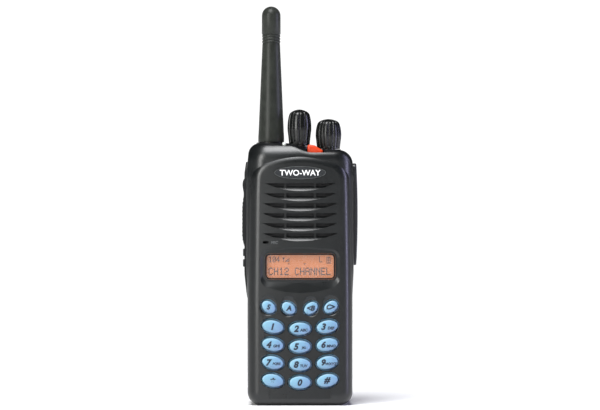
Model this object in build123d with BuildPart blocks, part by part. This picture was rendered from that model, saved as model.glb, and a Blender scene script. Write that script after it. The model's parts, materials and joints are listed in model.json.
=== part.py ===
"""Handheld two-way radio: case, keypad, display, top controls, side keys, antenna and battery pack.

Millimetres. X runs across the radio, Y from its face (negative) to its back, Z up.
The origin is on the standing surface, under the middle of the body.
"""

import math
import os

from build123d import *

os.makedirs("parts", exist_ok=True)

# ---------------------------------------------------------------- driving dimensions
BODY_WIDTH = 54.5  # across the grip
SHOULDER_WIDTH = 55.8  # across the speaker
FLARE_LOW_Z, FLARE_HIGH_Z = 56.0, 70.0  # the sides widen between these heights
SHOULDER_END_Z = 119.0
TOP_LEFT_Z, TOP_RIGHT_Z = 136.0, 132.5  # the stepped top: antenna side, volume side
STEP_LEFT_X, STEP_RIGHT_X = -4.4, 3.9
SEAM_DROP = 1.4  # the top panel's edge lies this far under the top
SIDE_LIMIT = 30.0  # outermost face of the side controls

KEY_TOP_Y = -19.0  # foremost points: the crowns of the keys
FACE_Y = -18.5  # flat front
SHOULDER_Y = -17.8  # front of the shoulders, behind the flat front
INNER_Y = -16.2  # inside of the front wall
PARTING_Y = 3.0  # front case meets chassis
CHASSIS_BACK_Y = 5.4  # chassis plate behind the battery
REAR_Y = 18.6  # back of the chassis head
BATTERY_BACK_Y = 19.0
WALL = 2.0
FACE_ROUND = 5.8  # edge of the raised front
SHOULDER_ROUND = 10.0  # broad rolled edge of the shoulders
RIM_ROUND = 4.0  # where the rolled edge meets the side walls
REAR_ROUND = 4.0
GAP = 0.15  # running gap round pressed parts

DECK_TOP_Z, DECK_THICK = 129.0, 2.5  # chassis deck that carries the controls
HEAD_LOW_Z = 98.3  # underside of the chassis head, above the battery

ANTENNA_X, ANTENNA_Y = -15.1, 3.0
ANTENNA_TOP_Z = 208.0
SELECTOR_X, VOLUME_X, CONTROL_Y = -0.3, 14.9, 1.0
LAMP_X, LAMP_Y = -8.2, -12.0

SPEAKER_Z, SPEAKER_R = 101.5, 18.0
GRILLE_PITCH = 5.18
GRILLE_TOP_Z = 115.2
GRILLE_WIDTHS = (36.4, 37.6, 39.0, 39.0, 39.0, 39.0)
LOUVRE_DROP, LOUVRE_SLOT, LOUVRE_DEPTH = 4.1, 1.65, 2.6
RIB_X = 7.7

DISPLAY_X, DISPLAY_Z = 0.1, 72.1
DISPLAY_W, DISPLAY_H = 34.8, 12.0
RECESS_Y = -17.5  # floor of the display recess

KEYPAD_Y = -18.1  # floor of the shallow keypad panel
KEY_COLUMN, KEY_PITCH, KEY_TOP_ROW_Z = 14.1, 9.27, 41.0
MIDDLE_DROP = 1.05
KEY_TRAVEL = 0.7
KEY_GAP = 0.7  # opening round each key

SEAL_X = -28.9  # outer face of the rubber side seal
SIDE_FLOOR_X = 27.0  # floor of the recess in each side wall
SIDE_Y = -4.2  # middle of the side controls, front to back

SCREW_POSTS = [(-22.9, 7.5), (22.9, 7.5), (-22.9, 64.0), (22.9, 64.0)]
POST_R, PILOT_R = 2.4, 0.9


# ---------------------------------------------------------------- shared outlines
def facing(y):
    """Plane seen from the front of the radio at depth y: its X is X and its Y is Z."""
    return Plane.XZ.offset(-y)


def stepped_top(drop):
    """The two corners of the stepped top edge, lowered by drop."""
    return [(STEP_LEFT_X, TOP_LEFT_Z - drop), (STEP_RIGHT_X, TOP_RIGHT_Z - drop)]


def closed_sketch(corners):
    """A closed front-view region from (point, corner radius) pairs."""
    with BuildSketch() as region:
        with BuildLine():
            FilletPolyline(
                *[point for point, _ in corners],
                radius=[radius for _, radius in corners],
                close=True,
            )
        make_face()
    return region.sketch


def body_outline(inset=0.0):
    """Front-view outline of the whole body, shrunk by inset."""
    low, high = BODY_WIDTH / 2, SHOULDER_WIDTH / 2
    corners = [
        ((-low, 0), 7.0),
        ((-low, FLARE_LOW_Z), 60.0),
        ((-high, FLARE_HIGH_Z), 60.0),
        ((-high, SHOULDER_END_Z), 30.0),
        ((-26.4, TOP_LEFT_Z), 5.8),
        (stepped_top(0)[0], 13.0),
        (stepped_top(0)[1], 13.0),
        ((26.9, TOP_RIGHT_Z), 7.5),
        ((high, SHOULDER_END_Z), 30.0),
        ((high, FLARE_HIGH_Z), 60.0),
        ((low, FLARE_LOW_Z), 60.0),
        ((low, 0), 7.0),
    ]
    with BuildSketch() as outline:
        add(closed_sketch(corners))
        if inset:
            offset(amount=-inset)
    return outline.sketch


def rolled_outline(grow):
    """Like the body's outline but larger by grow and with wide corners, for broad rolled edges."""
    low, high = BODY_WIDTH / 2 + grow, SHOULDER_WIDTH / 2 + grow
    corner = SHOULDER_ROUND + grow
    corners = [
        ((-low, -grow), corner),
        ((-low, FLARE_LOW_Z), 60.0),
        ((-high, FLARE_HIGH_Z), 60.0),
        ((-high, SHOULDER_END_Z), 30.0),
        ((-26.6 - grow, TOP_LEFT_Z + grow), corner),
        ((26.9 + grow, TOP_LEFT_Z + grow), corner),
        ((high, SHOULDER_END_Z), 30.0),
        ((high, FLARE_HIGH_Z), 60.0),
        ((low, FLARE_LOW_Z), 60.0),
        ((low, -grow), corner),
    ]
    return closed_sketch(corners)


def face_outline():
    """Outline of the raised front: the case's own width at the grip, an arch over the badge."""
    low = BODY_WIDTH / 2
    corners = [
        ((-low, 0), 7.0),
        ((-low, 58), 90.0),
        ((-26.6, 108), 90.0),
        ((-26.0, 126.0), 12.0),
        ((0, 134.2), 52.0),
        ((26.0, 126.0), 12.0),
        ((26.6, 108), 90.0),
        ((low, 58), 90.0),
        ((low, 0), 7.0),
    ]
    return closed_sketch(corners)


def above_seam(drop=SEAM_DROP):
    """Everything above the stepped seam, as a front-view region."""
    left, right = stepped_top(drop)
    with BuildSketch() as region:
        with BuildLine():
            path = FilletPolyline((-40, left[1]), left, right, (40, right[1]), radius=13.0)
            Polyline(path @ 1, (40, 160), (-40, 160), path @ 0)
        make_face()
    return region.sketch


def upright(x, y, z=0.0):
    """Plane seen from the front with its origin on the vertical axis through (x, y)."""
    return Plane(origin=(x, y, z), x_dir=(1, 0, 0), z_dir=(0, -1, 0))


def slab(x_range, y_range, z_range, radius=0.0, axis=Axis.Z):
    """A block between two values on each axis, with the edges along axis rounded."""
    spans = (x_range, y_range, z_range)
    with BuildPart() as block:
        with Locations([tuple((low + high) / 2 for low, high in spans)]):
            Box(*[high - low for low, high in spans])
        if radius:
            fillet(block.edges().filter_by(axis), radius)
    return block.part


def rod(x, y, z_low, z_high, radius):
    """A vertical cylinder."""
    with BuildPart() as cylinder:
        with BuildSketch(Plane.XY.offset(z_low)):
            with Locations((x, y)):
                Circle(radius)
        extrude(amount=z_high - z_low)
    return cylinder.part


def rolled_block(y_back, y_front, grow):
    """Block of the widened outline whose front edges are broadly rolled."""
    with BuildPart() as block:
        with BuildSketch(facing(y_back)):
            add(rolled_outline(grow))
        extrude(amount=y_back - y_front)
        fillet(block.faces().sort_by(Axis.Y)[0].edges(), SHOULDER_ROUND + grow - 1.5)
    return block.part


def finish_part(part, name):
    """Labels a finished piece and writes it to its own file."""
    part.label = name
    export_step(part, f"parts/{name}.step")


# ---------------------------------------------------------------- the body's outer form
# One form gives the front case, the chassis head and the top panel their matching outsides.
with BuildPart() as body_form:
    with BuildSketch(facing(REAR_Y)):
        add(body_outline())
    extrude(amount=REAR_Y - SHOULDER_Y)
    fillet(body_form.faces().sort_by(Axis.Y)[-1].edges(), REAR_ROUND)
    add(rolled_block(REAR_Y + 1, SHOULDER_Y, 1.5), mode=Mode.INTERSECT)
    front_rim = [
        edge
        for edge in body_form.edges()
        if edge.bounding_box().min.Y > SHOULDER_Y + 0.3 and edge.bounding_box().max.Y < -5
    ]
    fillet(front_rim, RIM_ROUND)

# ---------------------------------------------------------------- front case
# Function keys: name, x, z, tilt in degrees.
FUNCTION_KEYS = [
    ("key_s", -16.2, 51.2, -35),
    ("key_a", -5.85, 50.6, -35),
    ("key_b", 5.65, 50.6, 35),
    ("key_c", 15.9, 51.2, 35),
]
DIGIT_NAMES = [
    ("key_1", "key_2", "key_3"),
    ("key_4", "key_5", "key_6"),
    ("key_7", "key_8", "key_9"),
    ("key_star", "key_0", "key_hash"),
]


def key_table():
    """Every key as (name, x, z, half width, half height, tilt)."""
    keys = [(name, x, z, 3.95, 3.0, tilt) for name, x, z, tilt in FUNCTION_KEYS]
    for row, names in enumerate(DIGIT_NAMES):
        row_z = KEY_TOP_ROW_Z - row * KEY_PITCH
        for column, name in zip((-1, 0, 1), names):
            if column:
                keys.append((name, column * KEY_COLUMN, row_z, 5.65, 3.5, column * 10))
            else:
                keys.append((name, 0.0, row_z - MIDDLE_DROP, 5.6, 3.45, 0))
    return keys


KEYS = key_table()


def key_ovals(grow):
    """A sketch of every key's oval, each grown by grow."""
    with BuildSketch() as ovals:
        for _, x, z, half_w, half_h, tilt in KEYS:
            with Locations(Location((x, z), tilt)):
                Ellipse(half_w + grow, half_h + grow)
    return ovals.sketch


def louvre(width):
    """Cutter for one crescent louvre: a slot along its straight top, a floor sloping out below it."""
    with BuildPart() as cutter:
        with BuildSketch(facing(0)):
            with BuildLine():
                top = Line((-width / 2, 0), (width / 2, 0))
                ThreePointArc(top @ 1, (0, -LOUVRE_DROP), top @ 0)
            make_face()
        extrude(amount=-LOUVRE_DEPTH)
        with BuildSketch(Plane.YZ.offset(-width / 2)):
            with BuildLine():
                Polyline(
                    (-0.1, -LOUVRE_DROP - 0.1), (2.0, -LOUVRE_SLOT), (LOUVRE_DEPTH, -LOUVRE_SLOT),
                    (LOUVRE_DEPTH, -LOUVRE_DROP - 0.1), close=True,
                )
            make_face()
        extrude(amount=width, mode=Mode.SUBTRACT)
        for x in (-RIB_X, RIB_X):
            add(slab((x - 0.6, x + 0.6), (1.2, 4), (-5, 1)), mode=Mode.SUBTRACT)
        for x_range in ((-30, 1.2 - width / 2), (width / 2 - 1.2, 30)):
            add(slab(x_range, (1.4, 4), (-5, 1)), mode=Mode.SUBTRACT)
    return cutter.part


def oval_cutter(x, z, tilt, sections):
    """Cutter with straight walls between ovals, given as (y, half width, half height)."""
    with BuildPart() as cutter:
        for y, half_w, half_h in sections:
            with BuildSketch(facing(y)):
                with Locations(Location((x, z), tilt)):
                    Ellipse(half_w, half_h)
        loft(ruled=True)
    return cutter.part


def bowl(x, z):
    """Cutter for the shallow oval bowl round a function key."""
    half_w, half_h, depth = 4.9, 5.7, 1.0
    sections = [
        (FACE_Y + depth * level, half_w * scale, half_h * scale)
        for level, scale in ((0, 1), (0.55, 0.86), (1, 0.6))
    ]
    return oval_cutter(x, z, 0, sections)


def key_bevel(x, z, half_w, half_h, tilt):
    """Cutter that breaks the edge of a key's opening at 45 degrees."""
    sections = [
        (KEYPAD_Y + depth, half_w + KEY_GAP + 0.3 - depth, half_h + KEY_GAP + 0.3 - depth)
        for depth in (-0.3, 0.4)
    ]
    return oval_cutter(x, z, tilt, sections)


with BuildPart() as face_block:
    with BuildSketch(facing(-9)):
        add(face_outline())
    extrude(amount=-9 - FACE_Y)
    fillet(face_block.faces().sort_by(Axis.Y)[0].edges(), FACE_ROUND)

with BuildPart() as display_recess:
    with BuildSketch(facing(FACE_Y)):
        add(
            closed_sketch(
                [
                    ((-20.5, 62.2), 5.0), ((-20.5, 80.6), 4.6), ((0.1, 82.6), 90.0), ((20.5, 80.6), 4.6),
                    ((20.5, 62.2), 5.0), ((0.1, 56.6), 50.0),
                ]
            )
        )
    with BuildSketch(facing(RECESS_Y)):
        add(
            closed_sketch(
                [
                    ((-19.3, 64.2), 3.6), ((-19.3, 79.6), 3.6), ((0.1, 81.6), 90.0), ((19.3, 79.6), 3.6),
                    ((19.3, 64.2), 3.6), ((0.1, 63.6), 90.0),
                ]
            )
        )
    loft(ruled=True)

with BuildPart() as case_cavity:
    with BuildSketch(facing(PARTING_Y)):
        add(body_outline(WALL))
    extrude(amount=PARTING_Y - INNER_Y)
    add(rolled_block(REAR_Y, INNER_Y, 1.5 - WALL), mode=Mode.INTERSECT)

with BuildPart() as front_case:
    add(body_form.part)
    add(slab((-40, 40), (PARTING_Y, 30), (-10, 150)), mode=Mode.SUBTRACT)
    add(face_block.part)
    # Open the inside and the top, where the top panel sits.
    add(case_cavity.part, mode=Mode.SUBTRACT)
    with BuildSketch(facing(PARTING_Y)):
        add(above_seam())
    extrude(amount=30, mode=Mode.SUBTRACT)
    add(slab((-23.2, 22.6), (-12.7, 4), (124, 140)), mode=Mode.SUBTRACT)
    add(slab((2.0, 13.8), (-14.2, -12), (124, 140)), mode=Mode.SUBTRACT)
    add(rod(LAMP_X, LAMP_Y, 124, 140, 1.8), mode=Mode.SUBTRACT)
    # Louvres, with the ribs that cross behind them.
    for row, width in enumerate(GRILLE_WIDTHS):
        with Locations((0.1, FACE_Y, GRILLE_TOP_Z - row * GRILLE_PITCH)):
            add(louvre(width), mode=Mode.SUBTRACT)
    # Badge recess and microphone hole.
    with BuildSketch(facing(FACE_Y)):
        with Locations((0.1, 120.6)):
            Ellipse(13.5, 3.5)
    extrude(amount=-0.7, mode=Mode.SUBTRACT)
    with BuildSketch(facing(FACE_Y)):
        with Locations((-17.7, 84.6)):
            SlotOverall(3.2, 1.3)
    extrude(amount=-4, mode=Mode.SUBTRACT)
    # Display recess, whose floor runs out gently below the window, then the window opening.
    add(display_recess.part, mode=Mode.SUBTRACT)
    with BuildSketch(facing(FACE_Y)):
        with Locations((DISPLAY_X, DISPLAY_Z)):
            RectangleRounded(DISPLAY_W + 1.6, DISPLAY_H + 1.6, 2.2)
    extrude(amount=-4, mode=Mode.SUBTRACT)
    # Shallow keypad panel that narrows towards the bottom edge.
    with BuildSketch(facing(FACE_Y)):
        with BuildLine():
            FilletPolyline(
                (-20.4, 55.6), (20.4, 55.6), (18.0, 32), (15.8, 8.8), (15.8, -4), (-15.8, -4),
                (-15.8, 8.8), (-18.0, 32),
                radius=[3.0, 3.0, 90, 20, 0, 0, 20, 90],
                close=True,
            )
        make_face()
    extrude(amount=FACE_Y - KEYPAD_Y, mode=Mode.SUBTRACT)
    # Bowls round the function keys, bevels round the others, then every key's opening.
    for _, x, z, _ in FUNCTION_KEYS:
        add(bowl(x, z + 0.5), mode=Mode.SUBTRACT)
    for _, x, z, half_w, half_h, tilt in KEYS[len(FUNCTION_KEYS):]:
        add(key_bevel(x, z, half_w, half_h, tilt), mode=Mode.SUBTRACT)
    with BuildSketch(facing(FACE_Y)):
        add(key_ovals(KEY_GAP))
    extrude(amount=-4, mode=Mode.SUBTRACT)
    # Screw posts.
    with BuildSketch(facing(PARTING_Y)):
        with Locations(SCREW_POSTS):
            Circle(POST_R)
    extrude(amount=PARTING_Y - INNER_Y + 0.2)
    with BuildSketch(facing(PARTING_Y)):
        with Locations(SCREW_POSTS):
            Circle(PILOT_R)
    extrude(amount=9, mode=Mode.SUBTRACT)
    # Left side: recess for the seal, openings for the talk bar and the two side keys.
    with BuildSketch(Plane.YZ.offset(-SIDE_FLOOR_X)):
        with Locations((SIDE_Y, 91)):
            RectangleRounded(12.8, 71.4, 6.3)
    extrude(amount=-6, mode=Mode.SUBTRACT)
    add(slab((-32, -24), (SIDE_Y - 4.85, SIDE_Y + 4.85), (82.3, 117.9), 2, Axis.X), mode=Mode.SUBTRACT)
    for low, high in ((76.95, 81.45), (71.45, 75.95)):
        add(slab((-32, -24), (SIDE_Y - 4.25, SIDE_Y + 4.25), (low, high), 1.2, Axis.X), mode=Mode.SUBTRACT)
    # Right side: recess for the accessory cap, opening for the connector, boss for the cap's screw.
    with BuildSketch(Plane.YZ.offset(SIDE_FLOOR_X)):
        with Locations((SIDE_Y, 99.1)):
            RectangleRounded(12.8, 53.6, 3.0)
    extrude(amount=6, mode=Mode.SUBTRACT)
    add(slab((24, 28), (SIDE_Y - 4.5, SIDE_Y + 4.5), (86, 118), 1.5, Axis.X), mode=Mode.SUBTRACT)
    with BuildSketch(Plane.YZ.offset(20.5)):
        with Locations((SIDE_Y, 79)):
            Circle(3.2)
    extrude(amount=6)
    with BuildSketch(Plane.YZ.offset(20.5)):
        with Locations((SIDE_Y, 79)):
            Circle(1.5)
    extrude(amount=8, mode=Mode.SUBTRACT)
finish_part(front_case.part, "front_case")

# ---------------------------------------------------------------- chassis
BATTERY_PIVOT_Y, BATTERY_PIVOT_Z = 6.9, 98.35
TERMINAL_X = (-9.0, -3.0, 3.0, 9.0)
TERMINAL_Z = 84.0
CLIP_HOLE_SPACING, CLIP_HOLE_Z, CLIP_HOLE_R = 25.0, 113.0, 1.25
STANDOFFS = [(-17.5, 10), (17.5, 10), (-17.5, 96), (17.5, 96)]

with BuildPart() as chassis:
    add(body_form.part)
    add(slab((-40, 40), (-30, PARTING_Y + 0.05), (-10, 150)), mode=Mode.SUBTRACT)
    with BuildSketch(facing(REAR_Y + 1)):
        add(above_seam())
    extrude(amount=30, mode=Mode.SUBTRACT)
    # Battery bay, the hollow head, and the well above the deck.
    add(slab((-40, 40), (CHASSIS_BACK_Y, 30), (-10, HEAD_LOW_Z)), mode=Mode.SUBTRACT)
    add(slab((-23.5, 23.5), (2, 16.4), (101, 126.5)), mode=Mode.SUBTRACT)
    add(slab((-23.0, 22.4), (2, 16.4), (DECK_TOP_Z, 140)), mode=Mode.SUBTRACT)
    # Deck that reaches forward over the speaker, notched for the orange key's switch.
    add(slab((-22.9, 22.3), (-12.5, 17), (DECK_TOP_Z - DECK_THICK, DECK_TOP_Z)))
    add(slab((2.4, 13.4), (-14, -7.4), (120, 135)), mode=Mode.SUBTRACT)
    # Standoffs for the main board, and bosses behind the belt clip holes.
    with BuildSketch(facing(3.2)):
        with Locations(*STANDOFFS):
            Circle(2.2)
    extrude(amount=2.5)
    with BuildSketch(facing(17)):
        with Locations((0, CLIP_HOLE_Z)):
            with GridLocations(CLIP_HOLE_SPACING, 1, 2, 1):
                Circle(3.2)
    extrude(amount=4.4)
    # Bores for the antenna socket and the two control bushings.
    with BuildSketch(Plane.XY.offset(120)):
        with Locations((ANTENNA_X, ANTENNA_Y)):
            Circle(4.6)
        with Locations((SELECTOR_X, CONTROL_Y), (VOLUME_X, CONTROL_Y)):
            Circle(3.6)
    extrude(amount=15, mode=Mode.SUBTRACT)
    # Screw clearance holes with seats for the heads.
    with BuildSketch(facing(CHASSIS_BACK_Y)):
        with Locations(SCREW_POSTS):
            Circle(1.3)
    extrude(amount=4, mode=Mode.SUBTRACT)
    with BuildSketch(facing(CHASSIS_BACK_Y)):
        with Locations(SCREW_POSTS):
            Circle(2.5)
    extrude(amount=1.3, mode=Mode.SUBTRACT)
    # Terminal window, battery hook groove, catch ledge at the foot.
    add(slab((-12.5, 12.5), (2, 7), (TERMINAL_Z - 4, TERMINAL_Z + 4)), mode=Mode.SUBTRACT)
    for x in (-16, 16):
        add(slab((x - 4.4, x + 4.4), (5.65, 8.3), (98, 99.7)), mode=Mode.SUBTRACT)
    add(slab((-8, 8), (5, 9.6), (0, 1.6)))
    add(slab((-8, 8), (8.4, 9.6), (0, 2.4)))
    # Threaded holes for a belt clip.
    with BuildSketch(facing(REAR_Y)):
        with Locations((0, CLIP_HOLE_Z)):
            with GridLocations(CLIP_HOLE_SPACING, 1, 2, 1):
                Circle(CLIP_HOLE_R)
    extrude(amount=5, mode=Mode.SUBTRACT)
finish_part(chassis.part, "chassis")

with BuildPart() as case_gasket:
    with BuildSketch(facing(PARTING_Y)):
        add(body_outline(WALL + 0.1))
        add(body_outline(WALL + 1.0), mode=Mode.SUBTRACT)
        with Locations(SCREW_POSTS):
            Circle(POST_R + 1.3)
        add(body_outline(WALL + 0.1), mode=Mode.INTERSECT)
        with Locations(SCREW_POSTS):
            Circle(POST_R + 0.3, mode=Mode.SUBTRACT)
        with Locations((0, 130)):
            Rectangle(60, 12, mode=Mode.SUBTRACT)
    extrude(amount=1.0)
finish_part(case_gasket.part, "case_gasket")

# Pan-head screws that join chassis and front case.
with BuildPart() as case_screws:
    with BuildSketch(facing(CHASSIS_BACK_Y - 0.1)):
        with Locations(SCREW_POSTS):
            Circle(2.2)
    extrude(amount=1.15)
    with BuildSketch(facing(CHASSIS_BACK_Y - 1)):
        with Locations(SCREW_POSTS):
            Circle(PILOT_R)
    extrude(amount=9)
    with BuildSketch(facing(CHASSIS_BACK_Y - 0.1)):
        for x, z in SCREW_POSTS:
            for turn in (0, 90):
                with Locations(Location((x, z), turn)):
                    Rectangle(2.2, 0.5)
    extrude(amount=0.7, mode=Mode.SUBTRACT)
finish_part(case_screws.part, "case_screws")

# ---------------------------------------------------------------- top panel and its controls
with BuildPart() as top_panel:
    add(body_form.part)
    with BuildSketch(facing(REAR_Y)):
        add(above_seam(SEAM_DROP - 0.05))
    extrude(amount=REAR_Y - SHOULDER_Y, mode=Mode.INTERSECT)
    # Collar under the antenna, bosses under the knobs.
    add(rod(ANTENNA_X, ANTENNA_Y, 135, 136.6, 7.7))
    add(rod(SELECTOR_X, CONTROL_Y, 132.2, 134.7, 5.9))
    add(rod(SELECTOR_X, CONTROL_Y, 134.7, 140, 6.6), mode=Mode.SUBTRACT)
    add(rod(VOLUME_X, CONTROL_Y, 132, 133.0, 6.5))
    add(rod(ANTENNA_X, ANTENNA_Y, 130, 140, 4.75), mode=Mode.SUBTRACT)
    add(rod(SELECTOR_X, CONTROL_Y, 130, 140, 4.6), mode=Mode.SUBTRACT)
    add(rod(VOLUME_X, CONTROL_Y, 130, 140, 4.6), mode=Mode.SUBTRACT)
    # Windows for the orange key and the lamp, both open to the front.
    add(slab((3.2, 12.6), (-22, -7.9), (125, 140), 1.4), mode=Mode.SUBTRACT)
    add(rod(LAMP_X, LAMP_Y, 130, 140, 1.25), mode=Mode.SUBTRACT)
    add(slab((LAMP_X - 1.25, LAMP_X + 1.25), (-22, LAMP_Y), (134.8, 140)), mode=Mode.SUBTRACT)
finish_part(top_panel.part, "top_panel")

with BuildPart() as led_lens:
    add(rod(LAMP_X, LAMP_Y, 132, 136.5, 1.1))
    fillet(led_lens.edges().sort_by(Axis.Z)[-1], 0.8)
    add(rod(LAMP_X, LAMP_Y, 132, 133.6, 1.6))
finish_part(led_lens.part, "led_lens")


def control_switch(x, bushing_top):
    """Rotary switch body under the deck with its bushing, and the shaft's bore."""
    under_deck = DECK_TOP_Z - DECK_THICK
    with BuildPart() as switch:
        add(slab((x - 5.8, x + 5.8), (CONTROL_Y - 5.8, CONTROL_Y + 5.8), (119.8, under_deck), 0.8))
        add(rod(x, CONTROL_Y, under_deck - 0.5, bushing_top, 3.5))
        for leg in (-3, 0, 3):
            add(slab((x + leg - 0.4, x + leg + 0.4), (5, 9.4), (120.4, 120.8)))
        add(rod(x, CONTROL_Y, 121, 150, 3.05), mode=Mode.SUBTRACT)
    return switch.part


def ring_nut(x):
    """Slotted ring nut that clamps a bushing to the deck."""
    with BuildPart() as nut:
        add(rod(x, CONTROL_Y, DECK_TOP_Z, DECK_TOP_Z + 1.8, 4.4))
        add(rod(x, CONTROL_Y, DECK_TOP_Z - 1, DECK_TOP_Z + 3, 3.52), mode=Mode.SUBTRACT)
        for turn in (0, 90):
            with Locations(Location((x, CONTROL_Y, DECK_TOP_Z + 1.8), (0, 0, turn))):
                Box(10, 1, 1.2, mode=Mode.SUBTRACT)
    return nut.part


def knob(x, z_low, profile, flutes):
    """Body of a control knob: a turned barrel with shallow flutes and a blind bore for its shaft."""
    with BuildPart() as turned:
        with BuildSketch(upright(x, CONTROL_Y, z_low)):
            with BuildLine():
                side = Spline(*profile, tangents=[(0.05, 1), (-1, 0)])
                Polyline(side @ 1, (0, 0), side @ 0)
            make_face()
        revolve(axis=Axis((x, CONTROL_Y, 0), (0, 0, 1)))
        with BuildSketch(Plane.XY.offset(z_low + 1.2)):
            with Locations((x, CONTROL_Y)):
                with PolarLocations(profile[2][0] + 0.25, flutes):
                    Circle(0.55)
        extrude(amount=profile[-1][1], mode=Mode.SUBTRACT)
        add(rod(x, CONTROL_Y, z_low - 1, z_low + profile[-1][1] - 3, 3.0), mode=Mode.SUBTRACT)
        add(rod(x, CONTROL_Y, z_low - 1, z_low + 1.4, 4.0), mode=Mode.SUBTRACT)
    return turned.part


SELECTOR_BASE_Z, VOLUME_BASE_Z = 134.95, 133.25
SELECTOR_PROFILE = [(5.4, 0), (5.95, 5), (6.35, 9.2), (5.95, 14), (4.6, 17.4), (0, 19.0)]
VOLUME_PROFILE = [(6.0, 0), (6.45, 3.6), (6.8, 7.4), (6.3, 11.6), (4.8, 14.4), (0, 15.7)]

finish_part(control_switch(SELECTOR_X, 134.2), "selector_switch")
finish_part(control_switch(VOLUME_X, 132.8), "volume_switch")

with BuildPart() as ring_nuts:
    add(ring_nut(SELECTOR_X))
    add(ring_nut(VOLUME_X))
finish_part(ring_nuts.part, "control_nuts")

finish_part(knob(SELECTOR_X, SELECTOR_BASE_Z, SELECTOR_PROFILE, 12), "selector_knob")
finish_part(knob(VOLUME_X, VOLUME_BASE_Z, VOLUME_PROFILE, 16), "volume_knob")
finish_part(rod(SELECTOR_X, CONTROL_Y, 121.2, SELECTOR_BASE_Z + 16.0, 3.0), "selector_shaft")
finish_part(rod(VOLUME_X, CONTROL_Y, 121.2, VOLUME_BASE_Z + 12.7, 3.0), "volume_shaft")

# Orange key: a wedge that follows the step of the top, sliding straight down onto its switch.
with BuildPart() as orange_key:
    with BuildSketch(facing(-13.5)):
        with BuildLine():
            FilletPolyline(
                (3.8, 129.8), (3.8, 135.5), (7.6, 134.9), (12.0, 132.2), (12.0, 129.8),
                radius=[0, 1.2, 2.5, 1.2, 0],
                close=True,
            )
        make_face()
    extrude(amount=-5.4)
    fillet(orange_key.edges().filter_by(Axis.Z), 1.1)
    add(slab((2.8, 13.0), (-13.9, -7.7), (129.8, 130.5)))
finish_part(orange_key.part, "orange_key")

# ---------------------------------------------------------------- antenna
with BuildPart() as antenna_socket:
    add(rod(ANTENNA_X, ANTENNA_Y, 121, 136.5, 4.5))
    add(rod(ANTENNA_X, ANTENNA_Y, DECK_TOP_Z, DECK_TOP_Z + 1.2, 5.6))
    add(rod(ANTENNA_X, ANTENNA_Y, 123.5, 140, 3.0), mode=Mode.SUBTRACT)
finish_part(antenna_socket.part, "antenna_socket")

SHEATH_LOW_Z = 136.75
with BuildPart() as antenna_stud:
    add(rod(ANTENNA_X, ANTENNA_Y, 124.5, SHEATH_LOW_Z + 0.4, 2.95))
    add(rod(ANTENNA_X, ANTENNA_Y, SHEATH_LOW_Z + 0.3, 141.5, 5.2))
    add(rod(ANTENNA_X, ANTENNA_Y, 141, 150, 1.6))
finish_part(antenna_stud.part, "antenna_stud")

COIL_PITCH, COIL_R, COIL_WIRE_R, COIL_LOW_Z = 4.6, 2.1, 0.45, 146.9
with BuildPart() as antenna_coil:
    with BuildLine(Plane((ANTENNA_X, ANTENNA_Y, COIL_LOW_Z))) as coil_path:
        turns = Helix(pitch=COIL_PITCH, height=11 * COIL_PITCH, radius=COIL_R)
    with BuildSketch(Plane(origin=coil_path.line @ 0, z_dir=coil_path.line % 0)):
        Circle(COIL_WIRE_R)
    sweep(path=coil_path.line, is_frenet=True)
finish_part(antenna_coil.part, "antenna_coil")

# Rubber sheath: a tapered barrel, two rings, and a round-headed tip.
with BuildPart() as antenna_sheath:
    with BuildSketch(upright(ANTENNA_X, ANTENNA_Y)):
        with BuildLine():
            Polyline(
                (0, SHEATH_LOW_Z), (6.5, SHEATH_LOW_Z), (6.85, 137.2), (6.6, 143), (4.65, 188.2),
                (4.5, 188.8), (4.8, 189.1), (4.8, 189.7), (4.5, 190.0), (4.5, 190.3), (4.8, 190.6),
                (4.8, 191.2), (4.5, 191.5), (4.5, 191.8), (4.8, 192.1), (4.8, 192.7), (4.6, 193.0),
                (4.95, 193.5), (4.9, 203.1),
            )
            TangentArc((4.9, 203.1), (0, ANTENNA_TOP_Z), tangent=(0, 1))
            Line((0, ANTENNA_TOP_Z), (0, SHEATH_LOW_Z))
        make_face()
    revolve(axis=Axis((ANTENNA_X, ANTENNA_Y, 0), (0, 0, 1)))
    add(rod(ANTENNA_X, ANTENNA_Y, SHEATH_LOW_Z - 1, 141.5, 5.2), mode=Mode.SUBTRACT)
    add(rod(ANTENNA_X, ANTENNA_Y, 141, 200.5, 2.7), mode=Mode.SUBTRACT)
finish_part(antenna_sheath.part, "antenna_sheath")

# ---------------------------------------------------------------- speaker and microphone
def front_disc(radius, y_front, y_back, z=SPEAKER_Z, x=0.0):
    """A round disc facing forward."""
    with BuildPart() as disc:
        with BuildSketch(facing(y_back)):
            with Locations((x, z)):
                Circle(radius)
        extrude(amount=y_back - y_front)
    return disc.part


with BuildPart() as speaker_screen:
    with BuildSketch(facing(INNER_Y + 0.35)):
        with Locations((0, SPEAKER_Z + 0.1)):
            RectangleRounded(40.5, 28.6, 4)
    extrude(amount=0.3)
finish_part(speaker_screen.part, "speaker_screen")

with BuildPart() as speaker_frame:
    add(front_disc(SPEAKER_R, INNER_Y + 0.4, -12.2))
    add(front_disc(16.6, INNER_Y, -13.0), mode=Mode.SUBTRACT)
    add(front_disc(11.0, -13.2, -9.2))
    with BuildSketch(facing(-11)):
        with Locations((0, SPEAKER_Z)):
            with PolarLocations(13.8, 6):
                SlotOverall(5.5, 2.4, rotation=90)
    extrude(amount=4, mode=Mode.SUBTRACT)
finish_part(speaker_frame.part, "speaker_frame")

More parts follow.
